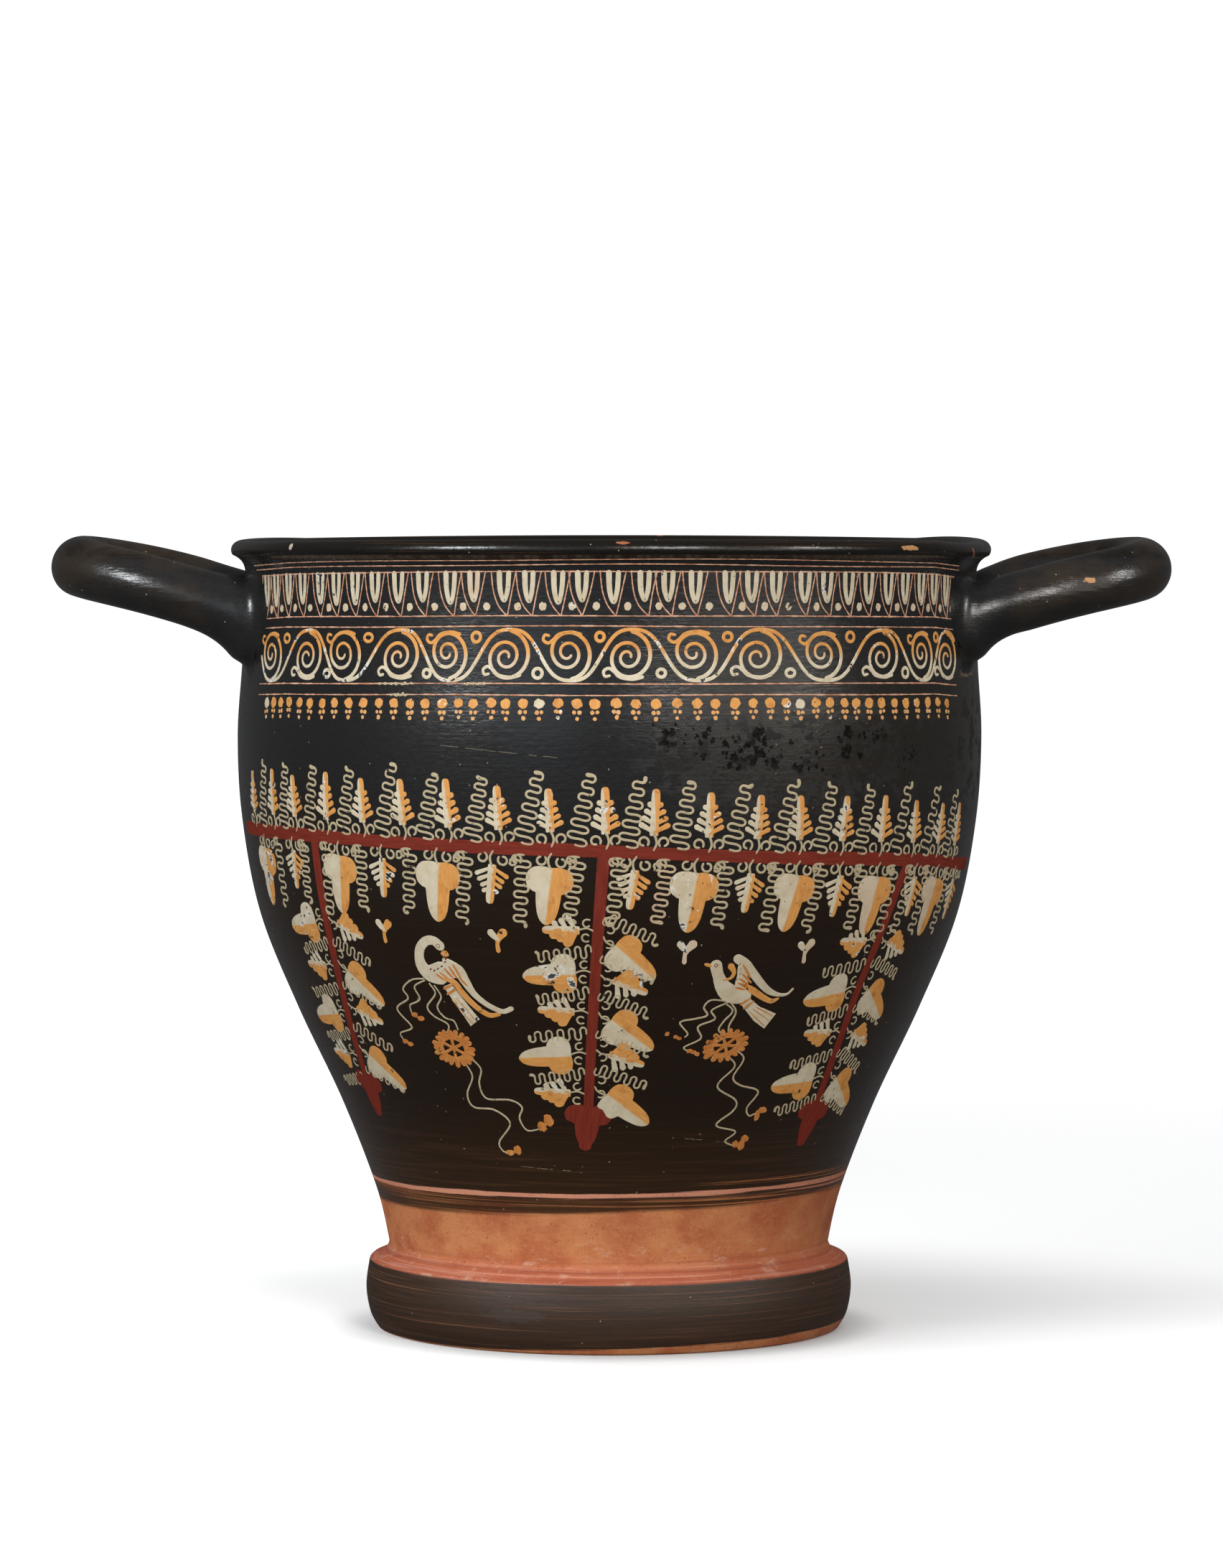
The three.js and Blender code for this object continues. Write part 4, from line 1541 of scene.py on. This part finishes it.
def glaze_cover(finish, axes, streak):
    """One where the black gloss lies, zero on the bare clay."""
    x, _, z = axes
    wander = finish.product(finish.minus(streak, 0.5), 1.8)
    level = finish.math("ADD", z, wander)
    wall_edge = finish.line(*WALL_EDGE, x)
    above = finish.over(wall_edge, 0.15, level)
    under_line = finish.over(finish.minus(wall_edge, CLAY_LINE), -0.15, level)
    over_band = finish.over(finish.line(*BAND_EDGE, x), 0.7, level)
    bristles = finish.step(0.5, 0.62, finish.noise((0.012, 0.012, 2.4), 3.0, 0.6))
    band = finish.product(under_line, over_band, finish.line(0.95, -0.4, bristles))
    right = finish.product(finish.step(14.0, 44.0, x), finish.between(36.5, 42.6, 0.5, z), bristles, 0.8)
    wall = finish.product(finish.larger(above, band), finish.minus(1.0, right))
    strip = finish.larger(finish.line(*FOOT_STRIP, x), FOOT_STRIP_LEAST)
    under_top = finish.step(*FOOT_TOP, finish.line(z, 0.3, wander))
    foot = finish.product(finish.over(strip, 0.25, level), under_top)
    cover = finish.larger(finish.larger(wall, foot), finish.attribute("inside"))
    return finish.product(cover, finish.minus(1.0, finish.attribute("under")))


def blotches(finish, axes):
    """Dull dark blotches on the right of the upper wall."""
    x, y, z = axes
    mottle = finish.step(0.5, 0.58, finish.noise((0.2, 0.2, 0.24), 5.0, 0.7))
    heights = finish.between(138.0, 158.0, 10.0, z)
    return finish.product(mottle, finish.step(0.0, 28.0, x), heights, finish.step(0.0, -30.0, y))


def glaze_colour(finish, axes, streak, blotch):
    """The black: cool above, brown below, thin in streaks, lighter on the front right partly as a painted
    sheen and mottled there, speckled with wear, with a painted highlight on the foot.
    """
    x, y, z = axes
    broad = finish.noise((0.02, 0.02, 0.028), 2.0, 0.5)
    low = finish.step(66.0, 38.0, z)
    foot = finish.step(19.0, 17.0, z)
    warmth = finish.math("ADD", finish.step(158.0, 92.0, z), finish.minus(broad, 0.5))
    upper_wall = finish.between(136.0, 170.0, 9.0, z)
    # Front right of the upper wall: partly the glaze's own tone, partly a painted sheen from the lights on
    # the right
    right = finish.product(finish.step(5.0, 40.0, x), upper_wall, finish.step(0.0, -20.0, y))
    handle = finish.step(97.0, 104.0, finish.math("ABSOLUTE", x))
    patchy = finish.step(0.35, 0.65, finish.noise((0.05, 0.05, 0.11), 4.0, 0.65))
    lines = finish.step(0.6, 0.7, finish.noise((0.012, 0.012, 2.6), 3.0, 0.6))
    worn_foot = finish.product(lines, foot, 0.75)
    worn_lip = finish.product(lines, finish.between(195.6, 199.4, 0.4, z), 0.45)
    # Painted highlight: a pale grey ragged patch on the front left of the foot
    highlight_edge = finish.noise((0.35, 0.35, 0.5), 4.0, 0.6)
    painted_foot_highlight = finish.near((-23.0, -57.0, 9.5), (8.0, 9.0, 1.5), highlight_edge)
    specks = finish.larger(finish.specks(0.45, 0.1, 0.14), finish.specks(0.14, 0.035, 0.5))
    return finish.coats(
        BLACK_COOL,
        (BLACK_WARM, finish.step(0.1, 0.9, warmth)),
        (BLACK_LOW, low),
        (BLACK_FOOT, foot),
        (BLACK_LIP, finish.step(194.5, 196.5, z)),
        (BLACK_RIGHT_TONE_AND_SHEEN, right, 0.8),
        (BLACK_BLOTCH, blotch),
        (BLACK_HANDLE, handle, patchy),
        (GLAZE_THIN, finish.step(0.47, 0.72, streak), finish.line(0.05, 0.5, low)),
        (GLAZE_WORN, finish.larger(worn_foot, worn_lip)),
        (GLAZE_PAINTED_HIGHLIGHT, painted_foot_highlight, 0.16),
        (GLAZE_SPECK, specks, 0.75),
    )


def damage(finish, ragged):
    """Coats for the chips, and for the break: a pale rim and a dark core painted as the shade in its hollow.
    """
    coats = []
    for degrees, height, radius, half_width, half_height, tint in CHIPS:
        angle = math.radians(degrees)
        centre = warp([(radius * math.sin(angle), -radius * math.cos(angle), height)])[0]
        coats.append((tint, finish.near(tuple(centre), (half_width, half_width, half_height), ragged)))
    x, y, z = wall_point(np.radians([BREAK_PLACE[0]]), length_at([BREAK_PLACE[1]]), 0.0)[0]
    coats.append((BREAK_RIM, finish.near((x, y, z - BREAK_RIM_DROP), BREAK_RIM_REACH, ragged)))
    # Painted shade: the dark core of the break stands for the shadow in its hollow
    coats.append((BREAK_PAINTED_SHADE, finish.near((x, y, z), BREAK_REACH, ragged)))
    return coats


def glaze_finish():
    """Black gloss over clay, left off round the lower wall and the foot's edge, with chips."""
    finish = Finish("black_gloss_glaze")
    axes = finish.axes()
    streak = finish.noise((0.03, 0.03, 1.5), 4.0, 0.6)
    grain = finish.noise((0.5, 0.5, 0.9), 4.0, 0.6)
    cover = glaze_cover(finish, axes, streak)
    blotch = blotches(finish, axes)
    ragged = finish.noise((0.7, 0.7, 0.9), 3.0, 0.6)
    black = glaze_colour(finish, axes, streak, blotch)
    colour = finish.coats(clay_colour(finish, axes), (black, cover), *damage(finish, ragged))

    dull = finish.step(30.0, 17.0, axes[2])
    gloss = finish.line(finish.line(0.17, 0.3, dull), 0.2, grain)
    gloss = finish.line(gloss, 0.6, blotch)
    rough = finish.node("Mix", {0: cover, 2: CLAY_ROUGHNESS, 3: gloss}, data_type="FLOAT").outputs[0]
    brushed = finish.noise((0.06, 0.06, 1.9), 3.0, 0.6)
    handle = finish.step(96.0, 106.0, finish.math("ABSOLUTE", axes[0]))
    lumps = finish.product(finish.noise((0.06, 0.12, 0.22), 2.0, 0.5), handle)
    combed = finish.product(finish.noise((0.06, 0.5, 0.9), 3.0, 0.6), handle)
    relief = finish.line(finish.product(grain, 0.6), 0.3, brushed)
    relief = finish.line(relief, 2.6, lumps)
    relief = finish.line(relief, 0.9, combed)
    return finish.shade({
        "Base Color": colour,
        "Roughness": rough,
        "Specular IOR Level": GLAZE_SPECULAR,
        "Normal": finish.bump(relief, GLAZE_RELIEF),
    })


def slip_finish(name, cream, orange, wear, flaked):
    """Thick slip in cream and orange, streaked by the brush, flaked, and tinted pink here and there."""
    finish = Finish(name)
    streaks = finish.noise((2.2, 0.22, 1.0), 3.0, 0.6, finish.attribute("brush", "Vector"))
    cloud = finish.noise((0.35, 0.35, 0.35), 3.0, 0.6)
    flake = finish.noise((0.55, 0.55, 0.55), 5.0, 0.7)
    loss = finish.noise((0.3, 0.3, 0.3), 4.0, 0.6)
    tone = finish.attribute("tone")
    ragged = finish.product(finish.minus(streaks, 0.5), 0.7)
    split = finish.math("ADD", finish.attribute("split"), ragged)
    pale = finish.coats(
        cream,
        (SLIP_DIRTY, finish.step(0.3, 0.75, cloud), 0.7),
        (SLIP_PINK, finish.between(0.06, 0.11, 0.01, tone), 0.16),
    )
    warm = finish.coats(
        orange,
        (SLIP_GOLD, finish.step(0.4, 0.75, streaks), 0.7),
        (SLIP_BROWN, finish.step(0.5, 0.75, cloud), 0.7),
    )
    weak = finish.product(finish.step(0.76, 0.8, tone), flaked)
    colour = finish.coats(
        pale,
        (warm, finish.step(-0.2, 0.2, split)),
        (SLIP_CHALK, finish.step(0.57, 0.6, loss), weak),
        (SLIP_GREY, finish.step(0.62, 0.65, loss), weak),
        (SLIP_GONE, finish.step(*wear, finish.line(flake, 0.06, tone))),
    )
    return finish.shade({
        "Base Color": colour,
        "Roughness": 0.7,
        "Specular IOR Level": 0.25,
        "Normal": finish.bump(finish.math("ADD", streaks, flake), SLIP_RELIEF),
    })


def red_finish():
    """Dark red slip with brush streaks and small black wear."""
    finish = Finish("red_slip_paint")
    streaks = finish.noise((2.0, 0.15, 1.0), 3.0, 0.6, finish.attribute("brush", "Vector"))
    flake = finish.noise((0.7, 0.7, 0.7), 4.0, 0.7)
    return finish.shade({
        "Base Color": finish.coats(
            RED_DARK,
            (RED_LIGHT, finish.step(0.3, 0.7, streaks)),
            (RED_WORN, finish.step(0.66, 0.76, flake)),
        ),
        "Roughness": 0.75,
        "Specular IOR Level": 0.15,
        "Normal": finish.bump(finish.math("ADD", streaks, flake), SLIP_RELIEF),
    })


def incised_finish():
    """Scratched lines that show the pale clay with a red-brown edge."""
    finish = Finish("incised_clay")
    cloud = finish.step(0.35, 0.6, finish.noise((0.5, 0.5, 0.9), 4.0, 0.65))
    return finish.shade({"Base Color": finish.mix(cloud, INCISED_DARK, INCISED_PALE), "Roughness": 0.8})


def stain_finish():
    """Dull black spots without the gloss of the wall."""
    finish = Finish("dull_stain")
    cloud = finish.step(0.4, 0.6, finish.noise((0.6, 0.6, 0.6), 3.0, 0.6))
    colour = finish.mix(cloud, STAIN_DARK, STAIN_PALE)
    return finish.shade({"Base Color": colour, "Roughness": 0.95, "Specular IOR Level": 0.1})


# Stage
FLOOR_RADIUS = 3.0
FLOOR_SIDES = 96
DOME_RADIUS = 6.0
DOME_SIDES = 64
FLOOR_NEAR = 0.22
FLOOR_FAR = 0.9
FLOOR_GLOW = 0.34
PAPER_GLOW = 1.05
# Painted light: extra glow on the floor to the left of the cup
PAINTED_LEFT_LIGHT = 0.26
PAINTED_LEFT_LIGHT_ZONE = (10.0, -70.0)
# Painted contact shadow: the floor glows less close round the foot
PAINTED_SHADOW_GLOW = 0.08
PAINTED_SHADOW_NEAR = 58.0
PAINTED_SHADOW_FAR = 74.0
FLOOR_GREY = (0.62, 0.62, 0.62, 1.0)
PAPER_BLACK = (0.0, 0.0, 0.0, 1.0)
PAPER_DARK = (0.01, 0.01, 0.01, 1.0)
TARGET = Vector((0.0, 0.0, 0.11))
WORLD_COLOUR = (0.95, 0.97, 1.0, 1.0)
WORLD_STRENGTH = 0.11


def paper(finish, colour, glow):
    """Matt white paper that gives off light."""
    return finish.shade({
        "Base Color": colour,
        "Roughness": 0.9,
        "Specular IOR Level": 0.0,
        "Emission Color": (1.0, 1.0, 1.0, 1.0),
        "Emission Strength": glow,
    })


def floor_finish():
    """White paper that glows and takes shadow near the cup, with a painted contact shadow round the foot and
    painted light on its left, and runs out into plain white.
    """
    finish = Finish("floor_paper")
    far = finish.node("VectorMath", {0: finish.place}, operation="LENGTH").outputs["Value"]
    away = finish.step(FLOOR_NEAR / MM, FLOOR_FAR / MM, far)
    # Painted contact shadow: less glow on the floor close round the foot
    close = finish.step(PAINTED_SHADOW_NEAR, PAINTED_SHADOW_FAR, far)
    # Painted light: the floor glows more to the left of the cup
    left = finish.step(*PAINTED_LEFT_LIGHT_ZONE, finish.axes()[0])
    glow = finish.line(PAINTED_SHADOW_GLOW, FLOOR_GLOW - PAINTED_SHADOW_GLOW, close)
    glow = finish.line(glow, PAINTED_LEFT_LIGHT, left)
    glow = finish.line(glow, PAPER_GLOW - FLOOR_GLOW, away)
    return paper(finish, finish.mix(away, FLOOR_GREY, PAPER_BLACK), glow)


def backdrop_finish():
    finish = Finish("backdrop_paper")
    cloud = finish.noise((0.001, 0.001, 0.001), 1.0, 0.5)
    return paper(finish, finish.mix(cloud, PAPER_BLACK, PAPER_DARK), PAPER_GLOW)


def make_stage():
    angle = np.linspace(0.0, 2 * math.pi, FLOOR_SIDES, endpoint=False)
    disc = np.column_stack([np.cos(angle), np.sin(angle), np.zeros(FLOOR_SIDES)]) * FLOOR_RADIUS / MM
    floor = make_object("floor", disc, [tuple(range(FLOOR_SIDES))])
    floor.data.materials.append(floor_finish())
    floor.visible_glossy = False
    floor.visible_diffuse = False
    rise = np.linspace(-0.5 * math.pi, 0.5 * math.pi, 25)[1:-1]
    profile = np.column_stack([np.cos(rise), np.sin(rise)]) * DOME_RADIUS / MM
    pole = np.array([[0.0, DOME_RADIUS / MM]])
    dome = turned("backdrop", np.vstack([-pole, profile, pole]), DOME_SIDES)
    dome.data.materials.append(backdrop_finish())
    for reach in ("diffuse", "glossy", "transmission", "shadow"):
        setattr(dome, "visible_" + reach, False)


def soft_light(name, place, size, power, colour, glossy=True, diffuse=True):
    lamp = bpy.data.lights.new(name, "AREA")
    lamp.shape = "RECTANGLE"
    lamp.size = size[0]
    lamp.size_y = size[1]
    lamp.energy = power
    lamp.color = colour
    holder = bpy.data.objects.new(name, lamp)
    holder.location = place
    holder.rotation_euler = (TARGET - Vector(place)).to_track_quat("-Z", "Y").to_euler()
    holder.visible_glossy = glossy
    holder.visible_diffuse = diffuse
    bpy.context.scene.collection.objects.link(holder)


def make_lights():
    soft_light("left", (-1.5, -0.9, 0.6), (1.2, 0.8), 20.0, (0.96, 0.98, 1.0), glossy=False)
    soft_light("left_spark", (-1.35, -1.3, 0.95), (0.3, 0.3), 34.0, (0.95, 0.98, 1.0), diffuse=False)
    soft_light("front", (-0.72, -1.95, 0.52), (0.8, 0.7), 2.2, (0.72, 0.88, 1.0))
    soft_light("right", (1.3, -1.3, 0.42), (1.3, 0.7), 4.8, (1.0, 0.95, 0.88))
    soft_light("right_spark", (1.6, -0.8, 0.8), (0.3, 0.3), 12.0, (1.0, 0.98, 0.95), diffuse=False)
    soft_light("fill", (0.6, -1.9, 1.0), (0.5, 0.5), 23.0, (1.0, 0.98, 0.95))
    soft_light("top", (0.0, -0.4, 1.7), (1.1, 0.4), 19.0, (0.98, 0.99, 1.0), glossy=False)
    soft_light("back", (0.5, 1.9, 0.9), (1.2, 0.8), 12.0, (0.98, 0.99, 1.0), glossy=False)
    world = bpy.data.worlds.new("room")
    bpy.context.scene.world = world
    world.use_nodes = True
    back = world.node_tree.nodes["Background"]
    back.inputs["Color"].default_value = WORLD_COLOUR
    back.inputs["Strength"].default_value = WORLD_STRENGTH
    bpy.context.scene.view_settings.view_transform = "Standard"


# Camera
CAMERA_PLACE = (0.00073, -1.460, 0.1967)
CAMERA_PITCH = math.atan(322 / 8000)
CAMERA_LENS = 131.87
CAMERA_SENSOR = 36.0


def make_camera():
    data = bpy.data.cameras.new("camera")
    data.lens = CAMERA_LENS
    data.sensor_width = CAMERA_SENSOR
    camera = bpy.data.objects.new("camera", data)
    camera.location = CAMERA_PLACE
    camera.rotation_euler = (math.pi / 2 - CAMERA_PITCH, 0.0, 0.0)
    bpy.context.scene.collection.objects.link(camera)
    bpy.context.scene.camera = camera


# Assembly
def paint_side(layers, side):
    """The bands and the vine of one side, the front at 0 and the back at 180 degrees."""
    for height in NECK_LINES:
        ring_line(layers["lines"], side, height, NECK_LINE_WIDTH, NECK_LEFT, NECK_RIGHT)
    for height in (OVOLO_TOP, OVOLO_BOTTOM, SCROLL_TOP, SCROLL_BOTTOM, DOT_LINE):
        ring_line(layers["lines"], side, height, LINE_WIDTH)
    ovolo(layers["lines"], layers["ovolo"], side)
    scroll(layers["scroll"], side)
    dot_row(layers["dots"], side)
    vine_band(layers, side)
    upper_vine(layers, side)
    lower_vine(layers, side, () if side else [route[0][0] for route in STEMS])


LAYERS = {
    "lines": ("incised_lines", "bare_clay"),
    "ovolo": ("ovolo_tongues", "white_slip"),
    "scroll": ("spiral_scroll", "white_slip"),
    "dots": ("dot_row", "white_slip"),
    "red": ("red_vine", "red_slip"),
    "leaves": ("leaves", "white_slip"),
    "curls": ("curls", "white_slip"),
    "tendrils": ("tendrils", "white_slip"),
    "birds": ("birds", "white_slip"),
    "ribbons": ("wreaths_and_ribbons", "white_slip"),
    "stains": ("dull_stains", "black_gloss"),
}

make_camera()
make_stage()
make_lights()

cup = make_cup()
cup.data.materials.clear()
cup.data.materials.append(glaze_finish())
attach(cup, "root")
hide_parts("skyphos")

layers = {key: Layer(name) for key, (name, slot) in LAYERS.items()}
paint_side(layers, 0.0)
for route, sprigs in zip(STEMS, STEM_SPRIGS):
    stem(layers, route, sprigs)
for group in BIRD_GROUPS:
    bird_group(layers, *group)
for degrees, height, tint in BUDS:
    bud(layers["leaves"], degrees, height, tint)
for start, end, dashes in SCRATCHES:
    scratch(layers["ribbons"], start, end, dashes)
for left, right, height in DEPOSITS:
    deposit(layers["ribbons"], left, right, height)
paint_side(layers, 180.0)
for degrees, height in STAIN_CLUSTERS:
    stains(layers["stains"], degrees, height)

thick_slip = slip_finish("thick_slip", THICK_CREAM, THICK_ORANGE, (0.66, 0.7), 1.0)
thin_slip = slip_finish("thin_slip", THIN_CREAM, THIN_ORANGE, (0.64, 0.7), 0.0)
finishes = {
    "lines": incised_finish(),
    "ovolo": thick_slip,
    "scroll": thick_slip,
    "dots": thick_slip,
    "red": red_finish(),
    "leaves": thick_slip,
    "curls": thin_slip,
    "tendrils": thin_slip,
    "birds": thick_slip,
    "ribbons": thin_slip,
    "stains": stain_finish(),
}
for key, (name, slot) in LAYERS.items():
    layers[key].finish(finishes[key], slot)
